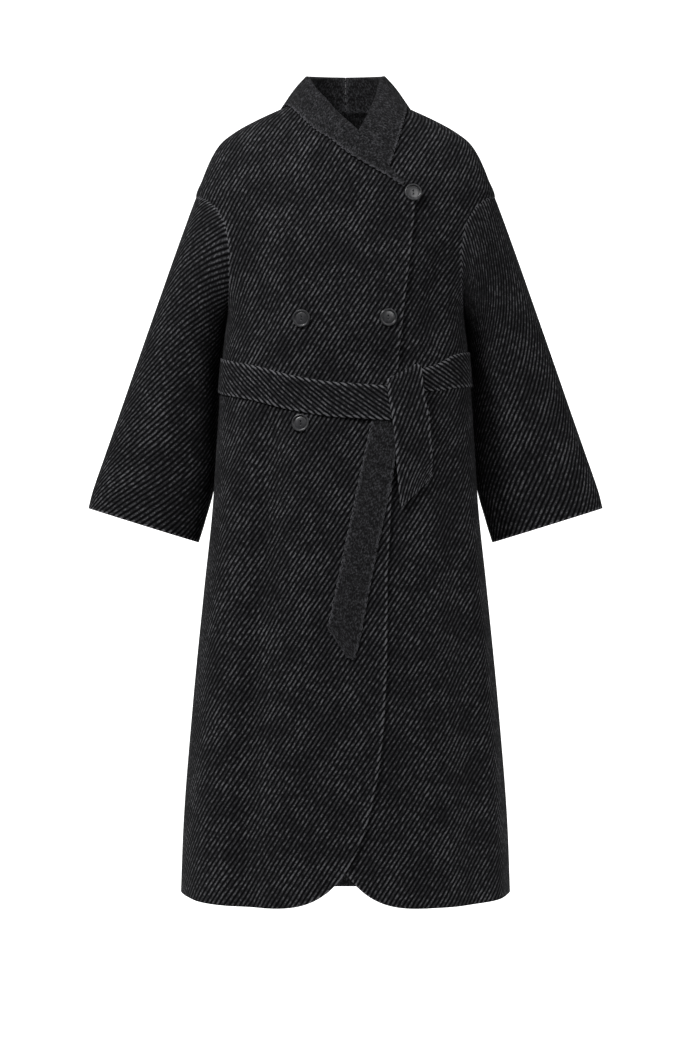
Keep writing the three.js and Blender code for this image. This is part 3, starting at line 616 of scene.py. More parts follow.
def colour_ramp(tree: Tree, amount: Socket, *stops: tuple[float, str]) -> Socket:
    """Mixes the stops' colours by an amount; each stop is a place from 0 to 1 and a hex colour."""
    node = add_node(tree, "ShaderNodeValToRGB", Fac=amount)
    ends = node.color_ramp.elements[0], node.color_ramp.elements[1]
    for end, (place, colour) in zip(ends, (stops[0], stops[-1])):
        end.position, end.color = place, linear(colour)
    for place, colour in stops[1:-1]:
        node.color_ramp.elements.new(place).color = linear(colour)
    return node.outputs[0]


def new_material(name: str) -> tuple[bpy.types.Material, Tree, bpy.types.Node]:
    """A material with its node tree and its shader node."""
    material = bpy.data.materials.new(name)
    material.use_nodes = True
    tree = material.node_tree
    return material, tree, next(n for n in tree.nodes if n.type == "BSDF_PRINCIPLED")


def painted_edge_highlight(tree: Tree, gain: float, full: float = 1.2, gone: float = 4.8) -> Socket:
    """Painted highlight: how much lighter the cloth's colour is made along every edge and seam, standing in for
    light caught by the rolled edge.

    Args:
        tree: the material's node tree.
        gain: what the painted highlight adds to 1.
        full: how far in from the edge the whole gain goes, in millimetres.
        gone: where it has faded out.

    Returns:
        The factor's socket.
    """
    inset = add_node(tree, "ShaderNodeUVMap", {"uv_map": "edge"}).outputs[0]
    away = add_node(tree, "ShaderNodeSeparateXYZ", i0=inset).outputs[0]
    return add_node(
        tree, "ShaderNodeMapRange", {"interpolation_type": "SMOOTHSTEP"},
        Value=away, From_Min=full * MM, From_Max=gone * MM, To_Min=1.0 + gain, To_Max=1.0,
    ).outputs[0]


@dataclass(frozen=True)
class WoolSurface:
    """What both sides of the cloth share: a dull surface with low relief and a trace of sheen."""

    strength: float
    relief: float  # mm
    sheen: float
    roughness: float = 0.95
    shine: float = 0.03
    sheen_roughness: float = 0.6

    def apply(self, tree: Tree, shader: bpy.types.Node, colour: Socket, height: Socket) -> None:
        """Links the colour and the relief to the shader and sets the rest."""
        bump = add_node(tree, "ShaderNodeBump", Height=height, Strength=self.strength, Distance=self.relief * MM)
        tree.links.new(colour, shader.inputs["Base Color"])
        tree.links.new(bump.outputs[0], shader.inputs["Normal"])
        shader.inputs["Roughness"].default_value = self.roughness
        shader.inputs["Specular IOR Level"].default_value = self.shine
        shader.inputs["Sheen Weight"].default_value = self.sheen
        shader.inputs["Sheen Roughness"].default_value = self.sheen_roughness


@dataclass(frozen=True)
class TwillFace:
    """Wool twill, woven and brushed: soft grey cords on a black ground, dull, with loose fibres."""

    name: str = "wool_twill_face"
    ground: str = "040405"
    cord: str = "2e2e30"
    slub: str = "606063"
    rib: float = 6.0  # mm from cord to cord
    lean: float = 57.0  # degrees of the cords above the cross grain
    wander: float = 2.2  # mm that noise may bend the cords by
    float_size: tuple[float, float] = (4.2, 6.2)  # mm across and along a cord
    surface: WoolSurface = WoolSurface(strength=0.8, relief=1.0, sheen=0.008)

    def make(self) -> bpy.types.Material:
        """Bands across the lean, bent and mottled by noise, drive colour and bump."""
        material, tree, shader = new_material(self.name)
        cloth = add_node(tree, "ShaderNodeUVMap", {"uv_map": "cloth"}).outputs[0]
        # x runs across the cords and y along them
        lean = (0, 0, np.radians(90 - self.lean))
        turned = add_node(tree, "ShaderNodeMapping", Vector=cloth, Rotation=lean).outputs[0]
        drift = add_node(tree, "ShaderNodeTexNoise", Vector=cloth, Scale=45.0, Detail=2.0).outputs["Color"]
        centred = maths(tree, "SUBTRACT", drift, (0.5, 0.5, 0.5), vectors=True)
        small = maths(tree, "MULTIPLY", centred, (self.wander * MM, self.wander * MM, 0.0), vectors=True)
        bent = maths(tree, "ADD", turned, small, vectors=True)
        # Blender's bands repeat every 2 pi / 20 at scale 1
        wave = add_node(
            tree, "ShaderNodeTexWave", {"wave_type": "BANDS", "bands_direction": "X"},
            Vector=bent, Scale=2 * np.pi / (20 * self.rib * MM), Distortion=0.0,
        ).outputs["Fac"]
        # floats: the short pieces of yarn that lie on top along each cord
        across, along = self.float_size
        size = (1 / (across * MM), 1 / (along * MM), 1.0)
        yarn = add_node(tree, "ShaderNodeMapping", Vector=bent, Scale=size).outputs[0]
        floats = noise(tree, yarn, 1.0, 1.0)
        # loose fibre, drawn at 1.5 mm so that it shows
        fibre = noise(tree, cloth, 700.0, 3.0, Roughness=0.7)
        cloud = noise(tree, cloth, 22.0, 2.0)
        broken = stretch(tree, floats, 0.3, 0.72, 0.35, 1.15)
        cords = maths(tree, "MULTIPLY", stretch(tree, wave, 0.1, 0.95), broken)
        fuzzy = maths(tree, "MULTIPLY", cords, stretch(tree, fibre, 0.3, 0.7, 0.4, 1.4))
        amount = maths(tree, "MULTIPLY", fuzzy, stretch(tree, cloud, 0.35, 0.65, 0.8, 1.12))
        # painted highlight: the colour is lighter along every edge and seam
        with_edge_highlight = maths(tree, "MULTIPLY", amount, painted_edge_highlight(tree, 1.1))
        colour = colour_ramp(tree, with_edge_highlight, (0.0, self.ground), (0.62, self.cord), (1.0, self.slub))
        self.surface.apply(tree, shader, colour, maths(tree, "MULTIPLY_ADD", fibre, 0.35, fuzzy))
        return material


@dataclass(frozen=True)
class FeltedReverse:
    """The same cloth's reverse: milled wool melange, smooth and dull, mottled light and dark."""

    name: str = "wool_melange_reverse"
    dark: str = "040405"
    middle: str = "1b1b1c"
    light: str = "414144"
    surface: WoolSurface = WoolSurface(strength=0.6, relief=0.5, sheen=0.01)

    def make(self) -> bpy.types.Material:
        """Two noises, one fibre-fine and one thumb-wide, drive colour and bump."""
        material, tree, shader = new_material(self.name)
        cloth = add_node(tree, "ShaderNodeUVMap", {"uv_map": "cloth"}).outputs[0]
        combed = add_node(tree, "ShaderNodeMapping", Vector=cloth, Scale=(1.0, 0.6, 1.0)).outputs[0]
        fine = noise(tree, combed, 420.0, 3.0, Roughness=0.75)
        both = maths(tree, "MULTIPLY_ADD", noise(tree, cloth, 95.0, 2.0), 0.25, fine)
        # painted highlight: the colour is lighter along every edge and seam
        with_edge_highlight = maths(tree, "MULTIPLY", stretch(tree, both, 0.42, 0.83), painted_edge_highlight(tree, 0.45))
        colour = colour_ramp(tree, with_edge_highlight, (0.0, self.dark), (0.5, self.middle), (1.0, self.light))
        self.surface.apply(tree, shader, colour, both)
        return material


@dataclass(frozen=True)
class PolishedHorn:
    """Turned and polished grey horn: faint cloudy streaks under a soft gloss."""

    name: str = "horn_polished_grey"
    dark: str = "121214"
    light: str = "303033"

    def make(self) -> bpy.types.Material:
        """A stretched noise makes the streaks; fine noise roughens the polish."""
        material, tree, shader = new_material(self.name)
        place = add_node(tree, "ShaderNodeTexCoord").outputs["Object"]
        pulled = add_node(tree, "ShaderNodeMapping", Vector=place, Scale=(1.0, 1.0, 0.45)).outputs[0]
        streak = stretch(tree, noise(tree, pulled, 190.0, 3.0, Distortion=1.2), 0.3, 0.7)
        colour = colour_ramp(tree, streak, (0.0, self.dark), (1.0, self.light))
        dull = stretch(tree, noise(tree, place, 900.0, 2.0), 0.0, 1.0, 0.26, 0.42)
        tree.links.new(colour, shader.inputs["Base Color"])
        tree.links.new(dull, shader.inputs["Roughness"])
        shader.inputs["IOR"].default_value = 1.54
        return material


@dataclass(frozen=True)
class StudioPaper:
    """Matt white background paper, so bright that it loses its own shade."""

    name: str = "studio_paper"
    white: str = "e8e8e8"
    glow: float = 1.0

    def make(self) -> bpy.types.Material:
        """A plain dull white that also gives light."""
        material, _, shader = new_material(self.name)
        shader.inputs["Base Color"].default_value = linear(self.white)
        shader.inputs["Roughness"].default_value = 1.0
        shader.inputs["Emission Color"].default_value = (1, 1, 1, 1)
        shader.inputs["Emission Strength"].default_value = self.glow
        return material


# ---- The collar's line, which the panels share at the neck seam

# behind the neck: turn from the front, roll x, y, z, edge z
COLLAR_BEHIND = ((180, 0, 58, 52, -16), (150, -28, 50, 51.4, -15), (120, -47.5, 29, 49, -9), (90, -55, 1, 45, -1))
NAN = float("nan")
# in front: seam z, roll x, y, z (no y: on the coat), edge x, edge z (no x: by its turn, 82 degrees)
RIGHT_COLLAR_FRONT = (
    (3.4, -54.6, -7, 44.2, NAN, -1.5), (1, -53, -17, 40, -87.5, -3), (-5, -48, -33, 31, -80, -9),
    (-14, -41, -47, 19, -68, -22), (-27, -29, -61, 5, -54, -37.5), (-42, -13, -76, -15.5, -39, -52),
    (-58, 5, NAN, -36.5, -20.5, -68), (-74, 24, NAN, -55.5, 1, -84.5), (-90, 42, NAN, -76.5, 22.5, -98),
    (-106, 59.5, NAN, -97.5, 45, -111.5), (-120, 75.5, NAN, -115.5, 65, -124),
    (-130, 87, NAN, -126.8, 78.5, -133.5),
)
LEFT_COLLAR_FRONT = (
    (3.4, -54, -8, 43.5, NAN, -1.5), (1, -49, -26, 28, -89.5, -7), (-5, -44, -42, 10, -88, -18),
    (-14, -38.5, -55, -5, -85.5, -30), (-27, -32, -70, -20.5, -82, -43), (-42, -24.4, NAN, -35.5, -77.8, -57.5),
    (-58, -16, NAN, -51.4, -72.5, -75), (-74, -8, NAN, -67.5, -67, -92), (-90, 0.5, NAN, -83.5, -61.5, -108),
)
HALF_BACK = 8


@dataclass
class Collar:
    """Half of the shawl collar: a strip folded along its roll, its reverse side outwards."""

    side: Side
    front: Table
    seam_z: float = 3.4  # height of the neck seam behind
    first_turn: float = 82  # where the edge passes the side of the neck, in degrees from the front
    flat_bend: float = 1.75  # radius of the cloth's middle round the roll, low on the coat
    neck_bend: float = 3.2  # the same beside the neck
    flat_over: float = 2.4  # how far the middle of the fall lies off the coat, low on the coat
    neck_over: float = 3.2
    belly: float = 0.14  # how far the fall stands out between roll and edge, as a share of its width
    seam: Array = field(init=False)
    roll: Array = field(init=False)
    edge: Array = field(init=False)
    bend: Array = field(init=False)
    lies: Array = field(init=False)
    along: Array = field(init=False)
    up: Array = field(init=False)
    out: Array = field(init=False)
    mitre: Array = field(init=False)

    def __post_init__(self) -> None:
        """Works out the stations: seam, roll, edge, directions and the mitred inner corner."""
        turn = np.linspace(180, 90, HALF_BACK + 1)
        behind = [column_track(COLLAR_BEHIND, k)(turn) for k in range(1, 5)]
        angle = -np.radians(turn)
        level = np.full(len(turn), self.seam_z)
        front = np.array(self.front)
        z, roll_z, edge_z = front[:, 0], front[:, 3], front[:, 5]
        flat = ease(10, -40, z)
        over = lerp(self.neck_over, self.flat_over, flat)
        bend = lerp(self.neck_bend, self.flat_bend, flat)
        seam_x = LINES.inner_end(self.side, z)
        roll = front[:, 1:4].copy()
        lying = np.isnan(roll[:, 1])
        roll[lying] = self.on_coat(roll[lying, 0], roll_z[lying], 0.0)
        edge = self.on_coat(np.nan_to_num(front[:, 4]), edge_z, over)
        edge[0] = FORM.skin(-np.radians(self.first_turn), edge_z[0], over[0])
        self.seam = np.concatenate([FORM.bare(angle, level), self.on_coat(seam_x, z, 0.0)])
        panel_out = np.concatenate([FORM.outward(angle, level), FORM.outward(FORM.angle_at(seam_x, z), z)])
        self.roll = np.concatenate([np.stack(behind[:3], -1), roll])
        self.edge = np.concatenate([FORM.skin(angle, behind[3], self.neck_over), edge])
        self.bend = np.concatenate([np.full(len(turn), self.neck_bend), bend])[:, None]
        self.lies = np.concatenate([np.zeros(len(turn), bool), lying])
        ends = np.concatenate([self.seam[:1], self.seam, self.seam[-1:]])
        self.along = unit(ends[2:] - ends[:-2])
        self.along[0] = (-1, 0, 0)
        self.up = unit(self.roll - self.seam)
        self.out = unit(np.cross(self.along, self.up))
        lean = (panel_out * self.out).sum(-1, keepdims=True)
        self.mitre = -(panel_out + self.out) * CLOTH / (1 + lean)
        self.mitre[HALF_BACK, 1] = 0

    def on_coat(self, x: Array, z: Array, out: Array | float) -> Array:
        """A point some distance off the front that carries this half, mirrored to the right."""
        return FORM.skin(FORM.angle_at(x, z), z, LINES.lift(self.side, -self.side.value * x, z) + out)

    def neck_mitre(self, z: Array) -> Array:
        """The corner between panel and stand by the height of the neck seam."""
        rows = slice(HALF_BACK + 1, None)
        heights, corners = self.seam[rows, 2][::-1], self.mitre[rows][::-1]
        return np.stack([np.interp(z, heights, corners[:, k]) for k in range(3)], -1)

    def shell(self) -> Shell:
        """The folded strip: up the stand, round the roll and down the fall, then made finer."""
        along, up, out, bend = self.along, self.up, self.out, self.bend
        stand_top = self.roll - up * (bend + CLOTH / 2) - out * bend
        heel = self.seam + self.mitre * 0.5 + up * SEAM
        stand_out = unit(np.cross(along, stand_top - heel))
        middle = [lerp(heel, stand_top, t) for t in (0, 0.5, 1)]
        normal = [-stand_out] * 3
        centre = stand_top + out * bend
        for turn in np.radians((50, 90, 130)):
            away = -out * np.cos(turn) + up * np.sin(turn)
            middle.append(centre + away * bend)
            normal.append(away)
        fall_top = stand_top + out * 2 * bend
        fall = self.edge - fall_top
        fall_out = unit(np.cross(fall, along))
        fall_out *= np.sign((fall_out * out).sum(-1, keepdims=True))
        length = np.linalg.norm(fall, axis=-1, keepdims=True)
        for t in (0, 0.33, 0.67, 1):
            straight = fall_top + fall * t
            loose = straight + fall_out * self.belly * length * t * (1 - t)
            flat = straight[self.lies]
            loose[self.lies] = self.on_coat(flat[:, 0], flat[:, 2], self.flat_over) if t > 0 else flat
            middle.append(loose)
            normal.append(fall_out)
        centre_line = np.stack(middle, 1)
        centre_line[0, :, 0] = SEAM - EDGE
        fine = refine_grid(centre_line, 7, 6)
        thick = unit(refine_grid(np.stack(normal, 1), 7, 6))
        thick[0, :, 0] = 0
        face, back = fine + thick * CLOTH / 2, fine - thick * CLOTH / 2
        across = run_length(fine, 1)
        on_roll = slice(30, 31)  # the column along the fold, which keeps its length
        run = run_length(fine, 0)[:, on_roll] * np.ones_like(across)
        grain = np.stack([run, -across], -1)
        return Shell(f"collar_{self.side.name.lower()}", *to_side(self.side, face, back), grain)


# ---- Body panels


def hem_rise(x: Array, z: Array) -> Array:
    """How far the hem climbs towards the side seams."""
    return HEM_SIDE_RISE * (np.abs(x) / FORM.column(1)(z)) ** 6 * ease(HEM_START, HEM_Z, z)


def armhole_welt(from_side: Array, z: Array) -> Array:
    """The low welt that the seam raises beside the armhole."""
    return 0.8 * np.exp(-((from_side / 6) ** 2)) * ease(-318, -300, z) * (1 - ease(-134, -100, z))


def near_top(angle: Array, z: Array) -> Array:
    """1 on a panel's top row, fading away over 8 mm or so."""
    return np.exp(-((run_length(FORM.bare(angle, z), 0) / 8) ** 2))[..., None]


@dataclass
class PanelRows:
    """The rows shared by the panels: each row's height at the side and at its inner end."""

    neck: int = 38
    beside: int = 48
    below: int = 176
    corner: int = 54
    first: float = 3.4
    neck_last: float = -135.2
    armhole_last: float = -312.9

    def make(self) -> tuple[Array, Array]:
        """Level rows at the neck, rows fanned along the armhole, level rows to the rounded hem."""
        neck = np.linspace(self.first, self.neck_last, self.neck)
        rim, _ = ARMHOLE.rim(np.linspace(0, np.pi, self.beside), SEAM + EDGE + 0.1)
        inner = np.linspace(ARMHOLE.top, self.armhole_last, self.beside)
        below = np.linspace(self.armhole_last, HEM_START, self.below)[1:]
        corner = HEM_START + (HEM_Z - HEM_START) * np.sin(np.linspace(0, np.pi / 2, self.corner))[1:]
        side = np.concatenate([neck, rim, below, corner])
        return side, np.concatenate([neck, inner, below, corner])


@dataclass
class Front:
    """One front of the coat, from the side seam or armhole to the neck seam or the front edge."""

    side: Side
    collar: Collar
    columns: int = 84
    roll_width: float = 4.5  # how wide the turned edge stands a little proud
    roll_height: float = 1.6

    def places(self) -> tuple[Array, Array]:
        """The angle and height of each grid point."""
        side, inner = PanelRows().make()
        share = np.sin(np.linspace(-np.pi / 2, np.pi / 2, self.columns)) / 2 + 0.5
        share = lerp(np.linspace(0, 1, self.columns), share, 0.35)
        z = lerp(side[:, None], inner[:, None], share)
        outer = -ARMHOLE.panel_end(side, False, SEAM + EDGE)
        last = FORM.angle_at(LINES.inner_end(self.side, inner) - 0.9, inner)
        angle = -self.side.value * lerp(outer[:, None], last[:, None], share)
        return angle, z

    def shell(self) -> Shell:
        """The panel's outer and inner surfaces on the body form, mitred at the neck seam."""
        angle, z = self.places()
        bare = FORM.bare(angle, z)
        rise = hem_rise(bare[..., 0], z)
        lift = LINES.lift(self.side, bare[..., 0], z)
        from_side = run_length(bare, 1)
        from_edge = from_side[:, -1:] - from_side
        at_neck = ease(-150, -130, z)
        proud = self.roll_height * np.exp(-((from_edge - 3) / self.roll_width) ** 4) * (1 - at_neck)
        face = FORM.skin(angle, z + rise, lift + proud + armhole_welt(from_side, z))
        back = FORM.skin(angle, z + rise, lift - CLOTH)
        top_mitre = lerp(self.collar.mitre[HALF_BACK], self.collar.mitre[HALF_BACK + 1], 0.5)
        corner, top_corner = to_side(self.side, self.collar.neck_mitre(z[:, -1]), top_mitre)
        lowest = self.collar.seam[-1, 2]
        near = (1 - ease(0, 14, from_edge)) * ease(lowest - 6, lowest, z[:, -1:])
        back = lerp(back, face + corner[:, None], near[..., None])
        back = lerp(back, face + top_corner, near_top(angle, z))
        return Shell(f"front_{self.side.name.lower()}", face, back, FORM.grain(angle, z, 0.0))


@dataclass
class Back:
    """The back: one panel from side to side under the collar."""

    collar: Collar
    columns: int = 145

    def shell(self) -> Shell:
        """The panel on the body form behind the side seams, mitred along the neck."""
        side, inner = PanelRows().make()
        share = np.linspace(-1, 1, self.columns)
        end = np.pi - ARMHOLE.panel_end(side, True, SEAM + EDGE)[:, None]
        angle = np.where(share <= 0, -lerp(np.pi, end, -share), -2 * np.pi + lerp(np.pi, end, share))
        z = lerp(side[:, None], inner[:, None], 1 - np.abs(share))
        angle, z = np.broadcast_arrays(angle, z)
        bare = FORM.bare(angle, z)
        rise = hem_rise(bare[..., 0], z)
        run = run_length(bare, 1)
        face = FORM.skin(angle, z + rise, armhole_welt(np.minimum(run, run[:, -1:] - run), z))
        back = FORM.skin(angle, z + rise, -CLOTH)
        half = np.where(share <= 0, 1, -1)
        stations, here = np.arange(HALF_BACK + 1), np.abs(share) * HALF_BACK
        corners = self.collar.mitre[: HALF_BACK + 1]
        mitre = np.stack([np.interp(here, stations, corners[:, k]) for k in range(3)], -1)
        mitre[:, 0] *= half
        back = lerp(back, face + mitre[None], near_top(angle, z))
        grain = FORM.grain(np.where(angle < -np.pi, angle + 2 * np.pi, -angle), z, np.pi)
        grain[..., 0] *= half
        return Shell("back", face, back, grain)


@dataclass
class Sleeve:
    """A wide sleeve: a bent tube from the armhole to the open cuff, with soft creases."""

    side: Side
    # outer x, z, inner x, z, half depth, middle y, for the right sleeve
    rings: Table = (
        (-223.5, -136, -177, -312, 78, 0), (-235, -162, -179.5, -322, 78.5, 8),
        (-248.6, -197, -180.1, -334, 78, 24), (-266.3, -245, -181.2, -351, 75, 34),
        (-289.1, -308, -185, -377, 71, 42), (-313.7, -377, -188.5, -423, 65, 47),
        (-339.2, -450, -191.7, -490, 58, 50), (-364.5, -522, -197.5, -564, 50, 51),
        (-382.3, -573, -212, -620, 42, 52), (-389.6, -601, -222.1, -653, 37, 52),
    )
    columns: int = 128
    crease_angle: float = 62  # round the tube from its outer side, in degrees
    crease_half: float = 17
    crease_depth: float = 6
    right_crease: float = 0.4  # share of the depth on the right sleeve

    def shell(self) -> Shell:
        """Ellipses between the outer and inner edge, drawn to the armhole seam at the top."""
        table = refine(np.array(self.rings, float), 17)
        k = np.linspace(0, len(self.rings) - 1, len(table))[:, None]
        turn = 2 * np.pi * np.arange(self.columns) / self.columns
        outer_x, outer_z, inner_x, inner_z, depth, middle_y = (table[:, i : i + 1] for i in range(6))
        middle = np.stack([(outer_x + inner_x) / 2, middle_y, (outer_z + inner_z) / 2], -1)
        across = np.stack([(outer_x - inner_x) / 2, 0 * depth, (outer_z - inner_z) / 2], -1)
        away = (np.degrees(turn) - self.crease_angle) / self.crease_half
        strength = 1.0 if self.side is Side.LEFT else self.right_crease
        crease = strength * self.crease_depth * np.exp(-away * away) * ease(0.4, 3, k) * (1 - ease(5, 8, k))
        tube = middle + across * np.cos(turn)[None, :, None]
        tube[..., 1] -= np.sin(turn) * depth - crease
        seam = ARMHOLE.point(turn, 0.5 * np.sin(turn) ** 4 - SEAM)
        tube = lerp(tube, seam[None], (1 - ease(0, 3, k))[..., None])
        start = unit(tube[1] - tube[0]) * (SEAM + EDGE)
        tube[0] += np.minimum(np.linalg.norm(tube[1] - tube[0], axis=-1, keepdims=True) * 0.6, 1) * start
        normal = grid_normals(tube, wraps=True)
        width = np.linalg.norm(np.diff(np.concatenate([tube, tube[:, :1]], 1), axis=1), axis=-1).sum(1)
        flat = float(width.mean())
        # the cloth's upright line follows the front of the tube, and its cross line the rings
        along = run_length(tube, 0)
        u = (turn / (2 * np.pi) - 0.25) * flat
        u = np.broadcast_to(u, along.shape) * (width / flat)[:, None]
        v = -along.mean(1, keepdims=True) * np.ones_like(u)
        sign = -self.side.value
        face, back = to_side(self.side, tube, tube + normal * CLOTH)
        grain = np.stack([sign * u, v], -1)
        return Shell(f"sleeve_{self.side.name.lower()}", face, back, grain, wraps=True, wrap_grain=sign * flat)


# ---- The belt


@dataclass
class Belt:
    """The tied belt: a band round the waist and two hanging ends at the knot."""

    clear: float = 0.6
    knot_lift: float = 4
    half_width: float = 25
    side_z: tuple[float, float] = (-402, -394)  # height of the middle at the right and left side
    # turn from the front, middle height, half width
    right: Table = (
        (-90, -402, 25), (-42, -418.5, 25), (-20, -434, 25), (0, -445, 25), (17, -449, 25), (27, -449, 24),
    )
    left: Table = (
        (31, -414, 15.5), (37, -413, 17), (46, -408, 20), (56, -401, 23.5), (70, -397, 25), (90, -394, 25),
    )
    # left x, z, right x, z, off the coat
    upper_tail: Table = (
        (64, -438, 88, -432, 4.2), (62, -424, 90, -408, 4.2), (60.5, -417.5, 96, -396.5, 5.4),
        (60, -415.5, 101, -393.5, 8), (60, -417.5, 106, -395.5, 11.2), (60.5, -426, 107.5, -408, 12.4),
        (63, -450, 111, -440, 12.6), (68, -480, 117.5, -470, 12), (72, -512, 121, -500, 8.4),
        (75, -548, 124.5, -532, 5.2), (80, -602, 123.5, -558, 4.4),
    )
    under_tail: Table = (
        (40, -462, 72, -462, 4.1), (38.5, -474, 71, -474, 4.1), (32, -504, 73, -510, 4.1),
        (22, -550, 68, -556, 4.1), (11, -604, 56.5, -612, 4.1), (-1, -660, 45, -668, 4.1),
        (-13, -718, 33.5, -726, 4.1), (-22.5, -764, 24.5, -776, 4.1), (-25.5, -777, 21, -794, 4.1),
        (-12, -797, 16, -812, 4.1), (2, -819, 11.5, -823, 4.1),
    )

    def band(self) -> Shell:
        """The band, a little off the coat, from one side of the knot round the back to the other."""
        across = np.linspace(-1, 1, 15)
        parts = ((26.5, -88, 110), (-91, -269, 130), (-272, -329, 60))  # from, to, points
        turn = np.concatenate([np.linspace(*part) for part in parts])
        here = (turn + 180) % 360 - 180
        on_left = here > 29
        behind = np.abs(here) > 90
        z_right, half_right = (column_track(self.right, k)(here) for k in (1, 2))
        z_left, half_left = (column_track(self.left, k)(here) for k in (1, 2))
        z_back = lerp(*self.side_z, ease(0, 1, (-90 - turn) / 180))
        z = np.where(behind, z_back, np.where(on_left, z_left, z_right))
        half = np.where(behind, self.half_width, np.where(on_left, half_left, half_right))
        height = z[:, None] + across * half[:, None]
        angle = np.radians(here)[:, None] * np.ones_like(height)
        base = FORM.bare(angle, height)
        x = base[..., 0]
        over_right = LINES.lift(Side.RIGHT, x, height) + self.knot_lift * ease(-15, 25, x)
        over_left = LINES.lift(Side.LEFT, x, height)
        lift = np.where(behind[:, None], 0, np.where(on_left[:, None], over_left, over_right)) + self.clear
        out = FORM.outward(angle, height)
        thin = 1 - 0.12 * np.abs(across) ** 6
        face = base + out * (lift + CLOTH * thin)[..., None]
        back = base + out * lift[..., None]
        grain = np.stack([run_length(face, 1), run_length(face, 0)[:, 7:8] * np.ones_like(x)], -1)
        return Shell("belt_waist", face, back, grain)

    def tail(self, name: str, table: Table, bow: float) -> Shell:
        """A hanging end: rows from its left to its right corner, each point set off the coat.

        Args:
            name: the piece's name.
            table: the rows from top to bottom.
            bow: how far the middle of each row stands out past its edges.

        Returns:
            The end as a closed shell.
        """
        rows = np.array(table, float)
        t = np.linspace(0, 1, 17)
        x = lerp(rows[:, 0:1], rows[:, 2:3], t)
        z = lerp(rows[:, 1:2], rows[:, 3:4], t)
        angle = FORM.angle_at(x, z)
        off = rows[:, 4:5] + bow * np.sin(np.pi * t)
        middle = refine(FORM.bare(angle, z) + FORM.outward(angle, z) * off[..., None], 9)
        normal = grid_normals(middle)
        down = run_length(middle, 0)[:, 8:9] * np.ones(middle.shape[:2])
        grain = np.stack([run_length(middle, 1), -down], -1)
        return Shell(name, middle - normal * CLOTH / 2, middle + normal * CLOTH / 2, grain)


# ---- Buttons


@dataclass
class Button:
    """A turned two-hole button: a dish with a sunk ring inside a round rim."""

    name: str
    x: float
    z: float
    radius: float = 12.8
    rim: float = 2.5
    thick: float = 4.2
    hole: float = 1.15  # radius
    hole_sides: int = 16
    holes_apart: float = 4.4

    def profile(self) -> Array:
        """The turned outline from the middle of the back round to the middle of the dish."""
        r, ring = self.radius, self.radius - self.rim
        return np.array([
            (0.01, 0), (r - 3, 0), (r - 1.2, 0.3), (r - 0.35, 1.4), (r, 2.5), (r - 0.15, 3.3), (r - 0.6, 3.9),
            (r - self.rim / 2, self.thick), (ring + 0.3, 3.85), (ring - 0.1, 2.9), (ring - 0.5, 1.9),
            (ring - 1.3, 1.7), (ring - 2.7, 2.1), (r / 3, 2.45), (0.01, 2.5),
        ])

    def build(self, horn: bpy.types.Material, lift: float) -> bpy.types.Object:
        """Turns the outline round its middle, drills the holes and sets the button on the cloth.

        Args:
            horn: the button's material.
            lift: how far its back lies off the coat's surface.

        Returns:
            The finished button.
        """
        outline = refine(self.profile(), 3)
        turn = np.linspace(0, 2 * np.pi, 64, endpoint=False)
        out_from, height = outline[:, :1], outline[:, 1:]
        disc = np.stack([out_from * np.cos(turn), out_from * np.sin(turn), height * np.ones_like(turn)], -1)
        quads = grid_quads(*disc.shape[:2], wraps=True)
        x, z = np.array(self.x), np.array(self.z)
        angle = FORM.angle_at(x, z)
        out = FORM.outward(angle, z)
        right = unit(np.cross((0, 0, 1), out))
        axes = np.stack([right, np.cross(out, right), out])
        centre = FORM.skin(angle, z, LINES.lift(Side.RIGHT, x, z) + lift)
        piece = mesh_object(self.name, disc.reshape(-1, 3) @ axes + centre, quads, {}, None, [horn])
        for sign in (-1, 1):
            self.drill(piece, centre + axes[1] * sign * self.holes_apart / 2, out)
        return piece

    def drill(self, piece: bpy.types.Object, at: Array, out: Array) -> None:
        """Cuts one thread hole with a Boolean that is applied at once."""
        n = self.hole_sides
        turn = np.linspace(0, 2 * np.pi, n, endpoint=False)
        side = unit(np.cross(out, (0, 0, 1)))
        ring = at + self.hole * (side * np.cos(turn)[:, None] + np.cross(out, side) * np.sin(turn)[:, None])
        caps = [ring + out * h for h in (-3, 9)]
        mesh = bpy.data.meshes.new("drill")
        walls = [(i, (i + 1) % n, n + (i + 1) % n, n + i) for i in range(n)]
        ends = [tuple(range(n - 1, -1, -1)), tuple(range(n, 2 * n))]
        mesh.from_pydata((np.concatenate(caps) * MM).tolist(), [], walls + ends)
        cutter = bpy.data.objects.new("drill", mesh)
        bpy.context.scene.collection.objects.link(cutter)
        cut = piece.modifiers.new("hole", "BOOLEAN")
        cut.operation, cut.solver, cut.object = "DIFFERENCE", "EXACT", cutter
        bpy.context.view_layer.update()
        done = bpy.data.meshes.new_from_object(piece.evaluated_get(bpy.context.evaluated_depsgraph_get()))
        piece.modifiers.clear()
        piece.data = done
        bpy.data.objects.remove(cutter)


# ---- The studio


